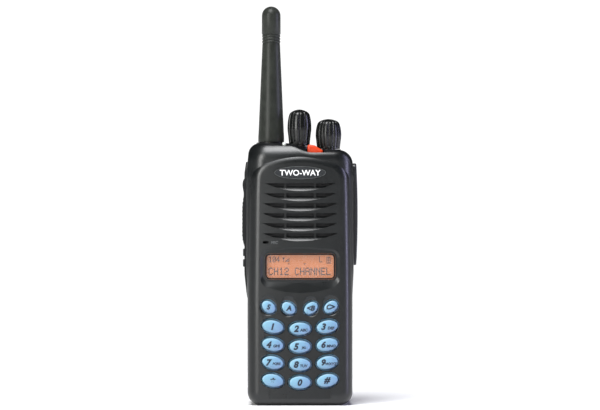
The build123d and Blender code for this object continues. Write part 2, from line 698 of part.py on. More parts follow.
with BuildPart() as speaker_cone:
    with BuildSketch(Plane.YZ):
        with BuildLine():
            Polyline(
                (-14.9, SPEAKER_Z), (-14.9, SPEAKER_Z + 6), (-14.1, SPEAKER_Z + 8), (-15.0, SPEAKER_Z + 13.5),
                (-15.3, SPEAKER_Z + 15), (-15.0, SPEAKER_Z + 16.5), (-14.6, SPEAKER_Z + 16.5),
                (-14.9, SPEAKER_Z + 15), (-14.6, SPEAKER_Z + 13.5), (-13.7, SPEAKER_Z + 8),
                (-14.5, SPEAKER_Z + 6), (-14.5, SPEAKER_Z), close=True,
            )
        make_face()
    revolve(axis=Axis((0, 0, SPEAKER_Z), (0, 1, 0)))
finish_part(speaker_cone.part, "speaker_cone")

with BuildPart() as microphone:
    add(front_disc(2.5, INNER_Y + 0.1, -13.6, z=84.6, x=-17.7))
    add(front_disc(0.6, INNER_Y, INNER_Y + 0.6, z=84.6, x=-17.7), mode=Mode.SUBTRACT)
finish_part(microphone.part, "microphone")

with BuildPart() as badge_plate:
    with BuildSketch(facing(FACE_Y + 0.68)):
        with Locations((0.1, 120.6)):
            Ellipse(13.35, 3.35)
    extrude(amount=0.4)
finish_part(badge_plate.part, "badge_plate")

# ---------------------------------------------------------------- display
with BuildPart() as display_window:
    with BuildSketch(facing(INNER_Y + 0.02)):
        with Locations((DISPLAY_X, DISPLAY_Z)):
            RectangleRounded(DISPLAY_W + 1.5, DISPLAY_H + 1.5, 2.15)
    extrude(amount=INNER_Y - RECESS_Y)
    with BuildSketch(facing(INNER_Y + 0.52)):
        with Locations((DISPLAY_X, DISPLAY_Z)):
            RectangleRounded(DISPLAY_W + 3.6, DISPLAY_H + 3.6, 2.4)
    extrude(amount=0.5)
finish_part(display_window.part, "display_window")

finish_part(slab((-18.6, 18.8), (-15.65, -14.1), (64.4, 80.6)), "display_panel")

with BuildPart() as display_holder:
    add(slab((-19.8, 20.0), (-15.6, -12.65), (63, 82), 1.0, Axis.Y))
    add(slab((-18.7, 18.9), (-16, -14.0), (64.3, 80.7)), mode=Mode.SUBTRACT)
finish_part(display_holder.part, "display_holder")

# ---------------------------------------------------------------- keypad
FLANGE_FRONT_Y, FLANGE_BACK_Y = -15.8, -15.3  # clear of the rolled inside of the case
MAT_FRONT_Y, MAT_BACK_Y = -14.5, -13.9
DOME_FRONT_Y, CONTROL_BOARD_Y, CONTROL_BOARD_BACK_Y = -13.0, -12.6, -11.6

with BuildPart() as key_mat:
    with BuildSketch(facing(MAT_BACK_Y)):
        with Locations((0, 31.2)):
            RectangleRounded(41.2, 50.8, 3)
        with Locations([(x, z) for _, x, z, _, _, _ in KEYS]):
            Circle(1.6, mode=Mode.SUBTRACT)
        with Locations(SCREW_POSTS):
            Circle(POST_R + 0.3, mode=Mode.SUBTRACT)
    extrude(amount=MAT_BACK_Y - MAT_FRONT_Y)
finish_part(key_mat.part, "key_mat")

# Each key: an oval cap, a flange behind the case wall, and a stub that reaches its snap dome.
for name, x, z, half_w, half_h, tilt in KEYS:
    with BuildPart() as key:
        with BuildSketch(facing(FLANGE_BACK_Y)):
            with Locations(Location((x, z), tilt)):
                Ellipse(half_w, half_h)
        extrude(amount=FLANGE_BACK_Y - KEY_TOP_Y)
        fillet(key.faces().sort_by(Axis.Y)[0].edges(), 0.6)
        with BuildSketch(facing(FLANGE_BACK_Y)):
            with Locations(Location((x, z), tilt)):
                Ellipse(half_w + KEY_GAP + 0.4, half_h + KEY_GAP + 0.3)
        extrude(amount=FLANGE_BACK_Y - FLANGE_FRONT_Y)
        with BuildSketch(facing(DOME_FRONT_Y - KEY_TRAVEL - 0.05)):
            with Locations((x, z)):
                Circle(1.2)
        extrude(amount=2)
    finish_part(key.part, name)


def board(y_front, y_back, z_low, z_high, half_width):
    """A circuit board with clearance round the screw posts."""
    with BuildPart() as plate:
        with BuildSketch(facing(y_back)):
            with Locations((0, (z_low + z_high) / 2)):
                RectangleRounded(2 * half_width, z_high - z_low, 2)
            with Locations(SCREW_POSTS):
                Circle(POST_R + 0.4, mode=Mode.SUBTRACT)
        extrude(amount=y_back - y_front)
    return plate.part


# The keypad's board carries a snap dome under every key.
with BuildPart() as control_board:
    add(board(CONTROL_BOARD_Y, CONTROL_BOARD_BACK_Y, 4, 83.0, 23.4))
    with BuildSketch(facing(CONTROL_BOARD_Y)):
        with Locations([(x, z) for _, x, z, _, _, _ in KEYS]):
            Circle(2.6)
    extrude(amount=CONTROL_BOARD_Y - DOME_FRONT_Y, taper=60)
finish_part(control_board.part, "control_board")

# The main board carries its chips and three shielding cans.
with BuildPart() as main_board:
    add(board(-0.6, 0.6, 4, 117, 21.2))
    for x, z, width, height, depth in (
        (-8, 104, 16, 12, 1.6), (10, 100, 9, 9, 1.2), (12, 34, 12, 12, 1.4), (-4, 20, 7, 5, 1.0),
    ):
        add(slab((x - width / 2, x + width / 2), (-0.6 - depth, -0.5), (z - height / 2, z + height / 2)))
    for x_range, z_range in (((-20, 0), (52, 90)), ((3, 20), (52, 90)), ((-19, 2), (26, 48))):
        add(slab(x_range, (-4.6, -0.55), z_range, 0.8, Axis.Y))
finish_part(main_board.part, "main_board")

# ---------------------------------------------------------------- left side: seal, talk bar, side keys
BAR_Z, SIDE_KEY_Z = (82.6, 117.6), ((77.2, 81.2), (71.7, 75.7))

with BuildPart() as side_seal:
    with BuildSketch(facing(SIDE_Y + 6.3)):
        with BuildLine():
            FilletPolyline(
                (-27.05, 55.6), (-27.5, 55.6), (SEAL_X, 68), (SEAL_X, 120.5), (-28.1, 126.4), (-27.05, 126.4),
                radius=[0, 0.3, 9, 9, 0.5, 0],
                close=True,
            )
        make_face()
    extrude(amount=12.6)
    with BuildSketch(Plane.YZ.offset(-26)):
        with Locations((SIDE_Y, 91)):
            RectangleRounded(12.6, 71.2, 6.2)
    extrude(amount=-5, mode=Mode.INTERSECT)
    add(slab((-32, -24), (SIDE_Y - 4.8, SIDE_Y + 4.8), (82.35, 117.85), 2, Axis.X), mode=Mode.SUBTRACT)
    for low, high in SIDE_KEY_Z:
        add(
            slab((-32, -24), (SIDE_Y - 4.2, SIDE_Y + 4.2), (low - 0.2, high + 0.2), 1.2, Axis.X),
            mode=Mode.SUBTRACT,
        )
finish_part(side_seal.part, "side_seal")

with BuildPart() as ptt_bar:
    with BuildSketch(facing(SIDE_Y + 4.6)):
        with BuildLine():
            front = Spline(
                (-29.0, BAR_Z[0]), (-29.75, 86), (-SIDE_LIMIT, 96), (-29.8, 105), (-29.35, 110),
                (-29.9, 114), (-29.1, BAR_Z[1]),
            )
            Polyline(front @ 1, (-25.6, BAR_Z[1]), (-25.6, BAR_Z[0]), front @ 0)
        make_face()
    extrude(amount=9.2)
    fillet(ptt_bar.edges().filter_by(Axis.X), 1.7)
    add(slab((-25.7, -25.1), (SIDE_Y - 5.5, SIDE_Y + 5.5), (81.95, 118.4), 1.5, Axis.X))
    add(slab((-25.2, -24.3), (SIDE_Y - 1.2, SIDE_Y + 1.2), (98.8, 101.2)))
finish_part(ptt_bar.part, "ptt_bar")

for name, (low, high) in zip(("side_key_upper", "side_key_lower"), SIDE_KEY_Z):
    with BuildPart() as side_key:
        add(slab((-29.7, -25.2), (SIDE_Y - 4, SIDE_Y + 4), (low, high), 1.0, Axis.X))
        fillet(side_key.faces().sort_by(Axis.X)[0].edges(), 0.6)
        add(slab((-25.7, -25.2), (SIDE_Y - 4.8, SIDE_Y + 4.8), (low - 0.45, high + 0.45)))
        add(slab((-25.3, -24.3), (SIDE_Y - 1, SIDE_Y + 1), (low + 1.2, high - 1.2)))
    finish_part(side_key.part, name)

with BuildPart() as tact_switches:
    for z in (100.0, sum(SIDE_KEY_Z[0]) / 2, sum(SIDE_KEY_Z[1]) / 2):
        half = 1.9 if z < 90 else 3.0
        add(slab((-23.3, -21.9), (SIDE_Y - half, SIDE_Y + half), (z - half, z + half)))
    add(slab((-22.0, -21.3), (SIDE_Y - 4, -0.8), (70, 106)))
    add(slab((4.9, 10.9), (-13.6, -7.6), (126.3, 129.0)))
    add(slab((3.0, 12.8), (-13.9, -5.2), (125.5, 126.45)))
finish_part(tact_switches.part, "tact_switches")

# ---------------------------------------------------------------- right side: accessory socket and cap
with BuildPart() as accessory_socket:
    add(slab((21.5, 26.6), (SIDE_Y - 4.3, SIDE_Y + 4.3), (86.2, 117.8), 1.2, Axis.X))
    add(slab((25.4, 27), (SIDE_Y - 3.2, SIDE_Y + 3.2), (88.5, 115.5)), mode=Mode.SUBTRACT)
    for row_y in (SIDE_Y - 1.6, SIDE_Y + 1.6):
        for column in range(7):
            z = 90.9 + 3.7 * column
            add(slab((25.38, 25.9), (row_y - 0.9, row_y + 0.9), (z - 0.9, z + 0.9)))
finish_part(accessory_socket.part, "accessory_socket")

CAP_Z = (72.6, 125.6)
SCREW_Z = 79.0
with BuildPart() as connector_cap:
    with BuildSketch(facing(SIDE_Y + 6.1)):
        with BuildLine():
            crown = ThreePointArc((29.3, CAP_Z[0]), (SIDE_LIMIT, 100.5), (29.3, CAP_Z[1]))
            Polyline(crown @ 1, (27.1, CAP_Z[1]), (27.1, CAP_Z[0]), crown @ 0)
        make_face()
    extrude(amount=12.2)
    fillet(connector_cap.edges().filter_by(Axis.X), 2.6)
    fillet(connector_cap.faces().sort_by(Axis.X)[-1].edges(), 0.7)
    with BuildSketch(Plane.YZ.offset(20)):
        with Locations((SIDE_Y, SCREW_Z)):
            Circle(1.7)
    extrude(amount=15, mode=Mode.SUBTRACT)
    with BuildSketch(Plane.YZ.offset(28.4)):
        with Locations((SIDE_Y, SCREW_Z)):
            Circle(3.3)
    extrude(amount=5, mode=Mode.SUBTRACT)
finish_part(connector_cap.part, "connector_cap")

with BuildPart() as cap_screw:
    with BuildSketch(Plane.YZ.offset(28.5)):
        with Locations((SIDE_Y, SCREW_Z)):
            Circle(3.0)
    extrude(amount=1.2)
    fillet(cap_screw.faces().sort_by(Axis.X)[-1].edges(), 0.35)
    with BuildSketch(Plane.YZ.offset(21.5)):
        with Locations((SIDE_Y, SCREW_Z)):
            Circle(1.45)
    extrude(amount=7.2)
    add(slab((29.1, 31), (SIDE_Y - 4, SIDE_Y + 4), (SCREW_Z - 0.45, SCREW_Z + 0.45)), mode=Mode.SUBTRACT)
finish_part(cap_screw.part, "cap_screw")

# ---------------------------------------------------------------- battery pack
COVER_Y, CASE_Y = 5.7, 7.4  # front of the pack's cover, and where its case begins
PACK_TOP_Z, PACK_REAR_TOP_Z = 97.7, 96.7


def pack_envelope(y_front):
    """The pack's outer form from y_front to its back: the body's outline under a sloping top."""
    with BuildPart() as pack:
        with BuildSketch(facing(BATTERY_BACK_Y)):
            add(body_outline())
        extrude(amount=BATTERY_BACK_Y - y_front)
        fillet(pack.faces().sort_by(Axis.Y)[-1].edges(), REAR_ROUND)
        with BuildSketch(Plane.YZ.offset(-40)):
            with BuildLine():
                Polyline(
                    (0, PACK_TOP_Z), (COVER_Y, PACK_TOP_Z), (BATTERY_BACK_Y, PACK_REAR_TOP_Z),
                    (30, PACK_REAR_TOP_Z), (30, 150), (0, 150), close=True,
                )
            make_face()
        extrude(amount=80, mode=Mode.SUBTRACT)
    return pack.part


with BuildPart() as battery_case:
    add(pack_envelope(CASE_Y))
    add(slab((-24.8, 24.8), (CASE_Y - 1, 17.2), (14, 93.5), 1.5, Axis.Y), mode=Mode.SUBTRACT)
    # Room for the chassis ledge and the latch.
    add(slab((-8.5, 8.5), (5, 10.0), (-1, 2.9)), mode=Mode.SUBTRACT)
    add(slab((-5.4, 5.4), (5, 17.6), (2.3, 6.2)), mode=Mode.SUBTRACT)
    add(slab((-8.5, 8.5), (16.9, 20), (2.2, 12.4), 1.2, Axis.Y), mode=Mode.SUBTRACT)
    # Shallow label field and finger grooves on the back.
    with BuildSketch(facing(BATTERY_BACK_Y)):
        with Locations((0, 58)):
            RectangleRounded(36, 48, 2.5)
    extrude(amount=0.35, mode=Mode.SUBTRACT)
    for row in range(4):
        for side in (-1, 1):
            with BuildSketch(facing(BATTERY_BACK_Y)):
                with Locations((side * 14.5, 17.5 + 3.4 * row)):
                    SlotOverall(11, 1.6)
            extrude(amount=0.5, mode=Mode.SUBTRACT)
finish_part(battery_case.part, "battery_case")

with BuildPart() as battery_cover:
    add(pack_envelope(COVER_Y))
    add(slab((-40, 40), (CASE_Y - 0.05, 30), (-5, 150)), mode=Mode.SUBTRACT)
    add(slab((-8.5, 8.5), (4, 10), (-1, 6.2)), mode=Mode.SUBTRACT)
    # Round-nosed hooks that turn in the grooves of the chassis head.
    for x in (-16, 16):
        with BuildSketch(Plane.YZ.offset(x - 4)):
            with Locations((BATTERY_PIVOT_Y, BATTERY_PIVOT_Z)):
                Circle(0.85)
            with Locations((6.6, 97.6)):
                Rectangle(1.1, 1.4)
        extrude(amount=8)
    for x in TERMINAL_X:
        add(slab((x - 1.6, x + 1.6), (5, 6.2), (TERMINAL_Z - 2.6, TERMINAL_Z + 2.6)), mode=Mode.SUBTRACT)
finish_part(battery_cover.part, "battery_cover")

with BuildPart() as battery_cells:
    for low in (14.4, 54.1):
        add(slab((-23.5, 23.5), (7.6, 16.9), (low, low + 39.0), 3, Axis.Z))
finish_part(battery_cells.part, "battery_cells")

with BuildPart() as battery_contacts:
    for x in TERMINAL_X:
        add(slab((x - 1.5, x + 1.5), (5.75, 6.18), (TERMINAL_Z - 2.5, TERMINAL_Z + 2.5)))
finish_part(battery_contacts.part, "battery_contacts")

with BuildPart() as terminal_block:
    add(slab((-12.3, 12.3), (2.2, CHASSIS_BACK_Y), (TERMINAL_Z - 3.8, TERMINAL_Z + 3.8)))
    for x in TERMINAL_X:
        add(slab((x - 1.2, x + 1.2), (4.0, 6), (TERMINAL_Z - 2, TERMINAL_Z + 2)), mode=Mode.SUBTRACT)
finish_part(terminal_block.part, "terminal_block")

with BuildPart() as battery_terminals:
    for x in TERMINAL_X:
        with BuildSketch(Plane.YZ.offset(x - 0.8)):
            with BuildLine():
                bow = ThreePointArc((4.1, TERMINAL_Z - 1.8), (5.62, TERMINAL_Z), (4.1, TERMINAL_Z + 1.8))
                Line(bow @ 1, bow @ 0)
            make_face()
        extrude(amount=1.6)
finish_part(battery_terminals.part, "battery_terminals")

# Latch: finger pad at the back, web under the cells, nose over the chassis ledge. It lifts to release.
with BuildPart() as battery_latch:
    add(slab((-8.2, 8.2), (17.7, 18.8), (2.6, 10.2), 1.0, Axis.Y))
    add(slab((-5.1, 5.1), (6.4, 18), (2.65, 4.4)))
    add(slab((-5.1, 5.1), (8.0, 10.2), (2, 3.1)), mode=Mode.SUBTRACT)
    for row in range(3):
        add(slab((-6.4, 6.4), (18.6, 19.0), (4.6 + 1.7 * row, 5.4 + 1.7 * row)))
finish_part(battery_latch.part, "battery_latch")
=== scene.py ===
"""Dresses the handheld two-way radio: finishes, keys, knobs, antenna, display, badge and stage."""

import json
import math

import bmesh
import bpy
from bpy.props import FloatProperty, FloatVectorProperty, IntProperty, PointerProperty
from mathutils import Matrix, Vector


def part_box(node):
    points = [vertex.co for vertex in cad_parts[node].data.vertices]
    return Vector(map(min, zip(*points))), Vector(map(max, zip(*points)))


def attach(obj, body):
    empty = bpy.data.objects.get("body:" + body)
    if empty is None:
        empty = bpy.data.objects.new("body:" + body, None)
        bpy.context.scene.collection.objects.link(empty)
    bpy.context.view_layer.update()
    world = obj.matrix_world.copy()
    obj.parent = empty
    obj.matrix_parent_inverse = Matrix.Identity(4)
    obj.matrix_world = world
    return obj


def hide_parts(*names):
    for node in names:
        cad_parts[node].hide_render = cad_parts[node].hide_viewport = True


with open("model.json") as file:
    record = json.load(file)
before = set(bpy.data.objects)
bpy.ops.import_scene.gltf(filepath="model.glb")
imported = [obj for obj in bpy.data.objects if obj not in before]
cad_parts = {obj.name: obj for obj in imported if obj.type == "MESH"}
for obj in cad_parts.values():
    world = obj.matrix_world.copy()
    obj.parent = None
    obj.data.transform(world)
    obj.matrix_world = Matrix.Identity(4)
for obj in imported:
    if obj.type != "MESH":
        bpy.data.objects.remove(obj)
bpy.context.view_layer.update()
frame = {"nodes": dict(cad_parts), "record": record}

bl_info = {
    "name": "Two-way radio",
    "version": (1, 0, 0),
    "blender": (4, 5, 0),
    "location": "3D View > Sidebar > Radio",
    "description": "Builds the finishes and the fine pieces of a handheld two-way radio",
    "category": "Object",
}

MM = 0.001

# Keys: name, half width, half height, tilt in degrees, main legend, small legend.
WIDE_KEY, MIDDLE_KEY, FUNCTION_KEY = (5.4, 3.15), (5.35, 3.1), (3.75, 2.7)
KEYS = (
    ("key_s", *FUNCTION_KEY, -35, "S", ""),
    ("key_a", *FUNCTION_KEY, -35, "A", ""),
    ("key_b", *FUNCTION_KEY, 35, "<B", ""),
    ("key_c", *FUNCTION_KEY, 35, "C>", ""),
    ("key_1", *WIDE_KEY, -10, "1", ""),
    ("key_2", *MIDDLE_KEY, 0, "2", "ABC"),
    ("key_3", *WIDE_KEY, 10, "3", "DEF"),
    ("key_4", *WIDE_KEY, -10, "4", "GHI"),
    ("key_5", *MIDDLE_KEY, 0, "5", "JKL"),
    ("key_6", *WIDE_KEY, 10, "6", "MNO"),
    ("key_7", *WIDE_KEY, -10, "7", "PQRS"),
    ("key_8", *MIDDLE_KEY, 0, "8", "TUV"),
    ("key_9", *WIDE_KEY, 10, "9", "WXYZ"),
    ("key_star", *WIDE_KEY, -10, "*", ""),
    ("key_0", *MIDDLE_KEY, 0, "0", ""),
    ("key_hash", *WIDE_KEY, 10, "#", ""),
)

# Five by seven dot letters for the display, one row after another.
GLYPHS = {
    "A": "01110 10001 10001 11111 10001 10001 10001",
    "C": "01110 10001 10000 10000 10000 10001 01110",
    "E": "11111 10000 10000 11110 10000 10000 11111",
    "H": "10001 10001 10001 11111 10001 10001 10001",
    "L": "10000 10000 10000 10000 10000 10000 11111",
    "N": "10001 11001 10101 10011 10001 10001 10001",
    "1": "00100 01100 00100 00100 00100 00100 01110",
    "2": "01110 10001 00001 00110 01000 10000 11111",
    "4": "00010 00110 01010 10010 11111 00010 00010",
    "0": "01110 10001 10011 10101 11001 10001 01110",
    " ": "00000 00000 00000 00000 00000 00000 00000",
}


# ------------------------------------------------------------------ shader expressions
class Wire:
    """An output socket whose arithmetic adds Math nodes."""

    def __init__(self, finish, socket):
        self.finish = finish
        self.socket = socket

    def math(self, operation, *values):
        return self.finish.add("ShaderNodeMath", {"operation": operation}, dict(enumerate(values)))

    def __add__(self, other):
        return self.math("ADD", self, other)

    def __mul__(self, other):
        return self.math("MULTIPLY", self, other)

    def __sub__(self, other):
        return self.math("SUBTRACT", self, other)

    def __rsub__(self, other):
        return self.math("SUBTRACT", other, self)

    __radd__ = __add__
    __rmul__ = __mul__


class Finish:
    """A material being built: constants on its shader, patterns wired to it."""

    def __init__(self, name, **constants):
        self.material = bpy.data.materials.new(name)
        self.material.use_nodes = True
        self.tree = self.material.node_tree
        self.shader = self.tree.nodes["Principled BSDF"]
        for socket, value in constants.items():
            self.shader.inputs[socket.replace("_", " ")].default_value = value

    def add(self, kind, settings=None, inputs=None, output=0):
        node = self.tree.nodes.new(kind)
        for name, value in (settings or {}).items():
            setattr(node, name, value)
        for socket, value in (inputs or {}).items():
            self.join(node.inputs[socket], value)
        return Wire(self, node.outputs[output])

    def join(self, socket, value):
        if isinstance(value, Wire):
            self.tree.links.new(value.socket, socket)
        else:
            socket.default_value = value

    def feed(self, socket, value):
        self.join(self.shader.inputs[socket], value)

    def place(self, stretch=(1, 1, 1)):
        """Object coordinates in millimetres, stretched by a factor on each axis."""
        scale = [1000.0 / factor for factor in stretch]
        coordinates = self.add("ShaderNodeTexCoord", output="Object")
        return self.add("ShaderNodeMapping", inputs={"Vector": coordinates, "Scale": scale})

    def noise(self, size, detail=2.0, stretch=(1, 1, 1)):
        """Smooth noise from 0 to 1 whose lumps are about size millimetres across."""
        inputs = {"Vector": self.place(stretch), "Scale": 1.0 / size, "Detail": detail}
        return self.add("ShaderNodeTexNoise", inputs=inputs)

    def grid(self, scale):
        """Two crossed sets of bands, multiplied together."""
        place = self.place()
        bands = []
        for axis in ("X", "Z"):
            settings = {"wave_type": "BANDS", "bands_direction": axis}
            inputs = {"Vector": place, "Scale": scale, "Distortion": 0.0}
            bands.append(self.add("ShaderNodeTexWave", settings, inputs, output=1))
        return bands[0] * bands[1]

    def ramp(self, value, low, high):
        """Value turned into 0 below low and 1 above high."""
        inputs = {"Value": value, "From Min": low, "From Max": high}
        return self.add("ShaderNodeMapRange", inputs=inputs)

    def mix(self, factor, first, second):
        """A colour between two."""
        inputs = {0: factor, 6: first, 7: second}
        return self.add("ShaderNodeMix", {"data_type": "RGBA"}, inputs, output=2)

    def bump(self, height, depth):
        """Relief from a height, in units of depth millimetres."""
        inputs = {"Height": height, "Distance": depth * MM, "Strength": 1.0}
        self.feed("Normal", self.add("ShaderNodeBump", inputs=inputs))


def rgba(colour, gain=1.0):
    """A colour with an alpha of one, brightened or darkened by gain."""
    return (*[min(1.0, part * gain) for part in colour[:3]], 1.0)


def moulded(name, colour, roughness, grain, depth, drift=0.12, crown=0.0, **constants):
    """Moulded plastic: fine spark-eroded grain, faint drift in colour and gloss, polish on high spots.

    A crown bows a flat face across its width, as a cylinder of that radius in millimetres would.
    """
    finish = Finish(name, **constants)
    broad = finish.noise(11.0, 3.0)
    fine = finish.noise(grain, 2.0)
    finish.feed("Base Color", finish.mix(broad, rgba(colour, 1 - drift), rgba(colour, 1 + drift)))
    finish.feed("Roughness", roughness + (broad - 0.5) * 0.14 - (fine - 0.5) * 0.12)
    relief = fine * depth
    if crown:
        across = finish.add("ShaderNodeSeparateXYZ", inputs={"Vector": finish.place()})
        relief = relief - across * across * (0.5 / crown)
    finish.bump(relief, 1.0)
    return finish.material


def rubbery(name, colour, roughness, grain, depth):
    """Matt rubber with a dusty bloom and a skin-like grain."""
    finish = Finish(name, Sheen_Weight=0.08, Sheen_Roughness=0.5, Specular_IOR_Level=0.22)
    bloom = finish.ramp(finish.noise(3.5, 4.0), 0.35, 0.75)
    fine = finish.noise(grain, 3.0)
    finish.feed("Base Color", finish.mix(bloom, rgba(colour, 0.85), rgba(colour, 1.35)))
    finish.feed("Roughness", roughness + bloom * 0.08)
    finish.bump(fine, depth)
    return finish.material


def metallic(name, colour, roughness, stretch=(1, 1, 1), size=0.25, depth=0.002):
    """Bare or plated metal: drawn or brushed lines along one axis and faint tarnish."""
    finish = Finish(name, Metallic=1.0)
    lines = finish.noise(size, 3.0, stretch)
    stain = finish.noise(4.0, 3.0)
    finish.feed("Base Color", finish.mix(stain, rgba(colour, 0.86), rgba(colour, 1.08)))
    finish.feed("Roughness", roughness + (lines - 0.5) * 0.2 + (stain - 0.5) * 0.08)
    finish.bump(lines, depth)
    return finish.material


def woven(name, colour, pitch):
    """Fine screen cloth: two crossed sets of threads."""
    finish = Finish(name, Roughness=0.85, Sheen_Weight=0.2)
    weave = finish.grid(0.314 / pitch)
    finish.feed("Base Color", finish.mix(weave, rgba(colour, 0.4), rgba(colour, 1.5)))
    finish.bump(weave, 0.05)
    return finish.material


def circuit(name, colour):
    """Solder mask over copper tracks."""
    finish = Finish(name, Coat_Weight=0.3)
    settings = {"wave_type": "BANDS", "bands_direction": "X"}
    inputs = {"Vector": finish.place(), "Scale": 0.35, "Distortion": 9.0, "Detail": 0.0}
    tracks = finish.ramp(finish.add("ShaderNodeTexWave", settings, inputs, output=1), 0.45, 0.55)
    finish.feed("Base Color", finish.mix(tracks, rgba(colour, 0.7), rgba(colour, 1.5)))
    finish.feed("Roughness", 0.42 - tracks * 0.1)
    finish.bump(tracks, 0.03)
    return finish.material


def clear_window(name):
    """Clear hard-coated window with the faintest smear."""
    finish = Finish(name, Base_Color=(0.9, 0.9, 0.9, 1), Roughness=0.06, IOR=1.45)
    smear = finish.noise(6.0, 3.0)
    finish.feed("Alpha", 0.03 + smear * 0.03)
    finish.feed("Roughness", 0.04 + smear * 0.06)
    return finish.material


def amber_panel(name, colour):
    """Back-lit amber panel, slightly uneven, with the faint grid of its dots."""
    finish = Finish(name, Emission_Strength=0.10, Roughness=0.35)
    grid = finish.ramp(finish.grid(0.68), 0.0, 0.3)
    glow = finish.noise(14.0, 1.0)
    lit = finish.mix(glow, rgba(colour, 0.9), rgba(colour, 1.12))
    shown = finish.mix(grid * 0.08 + 0.92, rgba(colour, 0.6), lit)
    finish.feed("Base Color", shown)
    finish.feed("Emission Color", shown)
    return finish.material


def key_silicone(name, light, shade):
    """Translucent coloured silicone, with painted light and shade: paler towards the upper left of each key
    and darker towards the lower right, as lit from the upper left, plus a faint random cloud.
    """
    finish = Finish(
        name, Subsurface_Weight=0.12, Subsurface_Scale=0.6 * MM, Coat_Weight=0.12, Coat_Roughness=0.3
    )
    across = finish.add("ShaderNodeAttribute", {"attribute_name": "across"}, output="Fac")
    fine = finish.noise(0.22, 2.0)
    cloud = finish.noise(2.8, 2.0)
    # Painted light and shade: each point's share from the key's lower right to its upper left picks the
    # shaded or the lit colour; the cloud adds random tone.
    painted_light_blend = finish.ramp(across + (cloud - 0.5) * 0.25, 0.1, 0.9)
    finish.feed("Base Color", finish.mix(painted_light_blend, rgba(shade), rgba(light)))
    finish.feed("Roughness", 0.42 + (fine - 0.5) * 0.14)
    finish.bump(fine, 0.004)
    return finish.material


def printed(name, colour, roughness=0.5):
    """Screen-printed ink, a little uneven."""
    finish = Finish(name)
    patch = finish.noise(0.35, 3.0)
    finish.feed("Base Color", finish.mix(patch, rgba(colour, 0.8), rgba(colour, 1.3)))
    finish.feed("Roughness", roughness + (patch - 0.5) * 0.15)
    return finish.material


FINISHES = {}


def make_finishes(colours):
    """One material for each material slot of the record, and the inks."""
    FINISHES.update(
        case_plastic=moulded("case plastic", colours.case, 0.31, 0.30, 0.0045, crown=150.0),
        dark_plastic=moulded(
            "dark plastic", (0.0045, 0.0050, 0.0055), 0.30, 0.25, 0.003, Specular_IOR_Level=0.25
        ),
        case_metal=moulded("painted casting", (0.010, 0.011, 0.012), 0.42, 0.55, 0.012),
        rubber_black=rubbery("black rubber", (0.006, 0.0065, 0.007), 0.56, 0.22, 0.006),
        steel=metallic("plated steel", (0.58, 0.58, 0.57), 0.30),
        antenna_rubber=rubbery("antenna rubber", colours.antenna, 0.36, 0.35, 0.006),
        nickel_brass=metallic("nickel-plated brass", (0.62, 0.58, 0.47), 0.26),
        knob_plastic=moulded(
            "knob plastic", colours.knob, 0.27, 0.20, 0.0025, Specular_IOR_Level=0.4
        ),
        lens_plastic=moulded("lamp lens", (0.55, 0.57, 0.54), 0.18, 0.6, 0.002, Coat_Weight=0.5),
        orange_plastic=moulded("orange plastic", colours.orange, 0.36, 0.25, 0.004),
        dark_fabric=woven("speaker screen cloth", (0.010, 0.010, 0.011), 0.35),
        cone_paper=moulded("speaker cone paper", (0.05, 0.05, 0.05), 0.75, 0.4, 0.02),
        aluminium_bright=metallic("drawn aluminium", (0.78, 0.78, 0.79), 0.25, (1, 8, 1)),
        badge_metal=moulded("badge enamel", (0.016, 0.018, 0.020), 0.30, 0.4, 0.002, Coat_Weight=0.3),
        window_plastic=clear_window("display window"),
        display_amber=amber_panel("amber display", colours.display),
        white_plastic=moulded("reflector plastic", (0.78, 0.78, 0.76), 0.45, 0.3, 0.004, 0.04),
        key_rubber=key_silicone("key silicone", colours.key_painted_light, colours.key_painted_shade),
        board_green=circuit("circuit board", (0.03, 0.17, 0.08)),
        cap_plastic=moulded("cap plastic", (0.010, 0.0105, 0.0135), 0.36, 0.28, 0.005),
        gold_contact=metallic("gold contacts", (0.83, 0.62, 0.28), 0.22),
        pack_plastic=moulded("battery plastic", (0.0090, 0.0098, 0.0100), 0.46, 0.5, 0.014),
        cell_film=moulded("cell wrap", (0.10, 0.18, 0.42), 0.28, 1.5, 0.01, Coat_Weight=0.4),
        legend_ink=printed("legend ink", (0.004, 0.009, 0.022)),
        display_ink=printed("display dots", (0.022, 0.003, 0.002), 0.6),
        grey_ink=printed("grey ink", (0.075, 0.08, 0.082)),
        white_ink=printed("white ink", (0.80, 0.81, 0.80), 0.45),
        pale_rim=metallic("badge rim", (0.20, 0.21, 0.21), 0.35),
        label_film=moulded("label film", (0.30, 0.31, 0.31), 0.38, 0.8, 0.003, 0.05),
    )


# ------------------------------------------------------------------ mesh helpers
def add_piece(mesh, name, body, finish, replaces=(), closed=True, sharp=38):
    """Links a finished mesh as a piece at the origin that rides on a body."""
    if closed:
        shape = bmesh.new()
        shape.from_mesh(mesh)
        bmesh.ops.remove_doubles(shape, verts=shape.verts, dist=1e-7)
        bmesh.ops.recalc_face_normals(shape, faces=shape.faces)
        shape.to_mesh(mesh)
        shape.free()
    mesh.polygons.foreach_set("use_smooth", [True] * len(mesh.polygons))
    mesh.set_sharp_from_angle(angle=math.radians(sharp))
    mesh.materials.clear()
    mesh.materials.append(FINISHES[finish])
    piece = bpy.data.objects.new(name, mesh)
    bpy.context.scene.collection.objects.link(piece)
    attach(piece, body)
    if replaces:
        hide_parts(*replaces)
    return piece


def make_mesh(name, points, faces):
    """A mesh from points in metres."""
    mesh = bpy.data.meshes.new(name)
    mesh.from_pydata([tuple(point) for point in points], [], faces)
    mesh.validate()
    return mesh


def skin(first_pole, rings, last_pole):
    """Points and faces of a closed surface through rings of equal count, closed by two poles."""
    count = len(rings[0])
    points = [first_pole, *[point for ring in rings for point in ring], last_pole]
    last = len(points) - 1
    end = 1 + (len(rings) - 1) * count
    faces = []
    for i in range(count):
        j = (i + 1) % count
        faces.append((0, 1 + j, 1 + i))
        faces.append((end + i, end + j, last))
        for k in range(len(rings) - 1):
            base = 1 + k * count
            faces.append((base + i, base + j, base + count + j, base + count + i))
    return points, faces


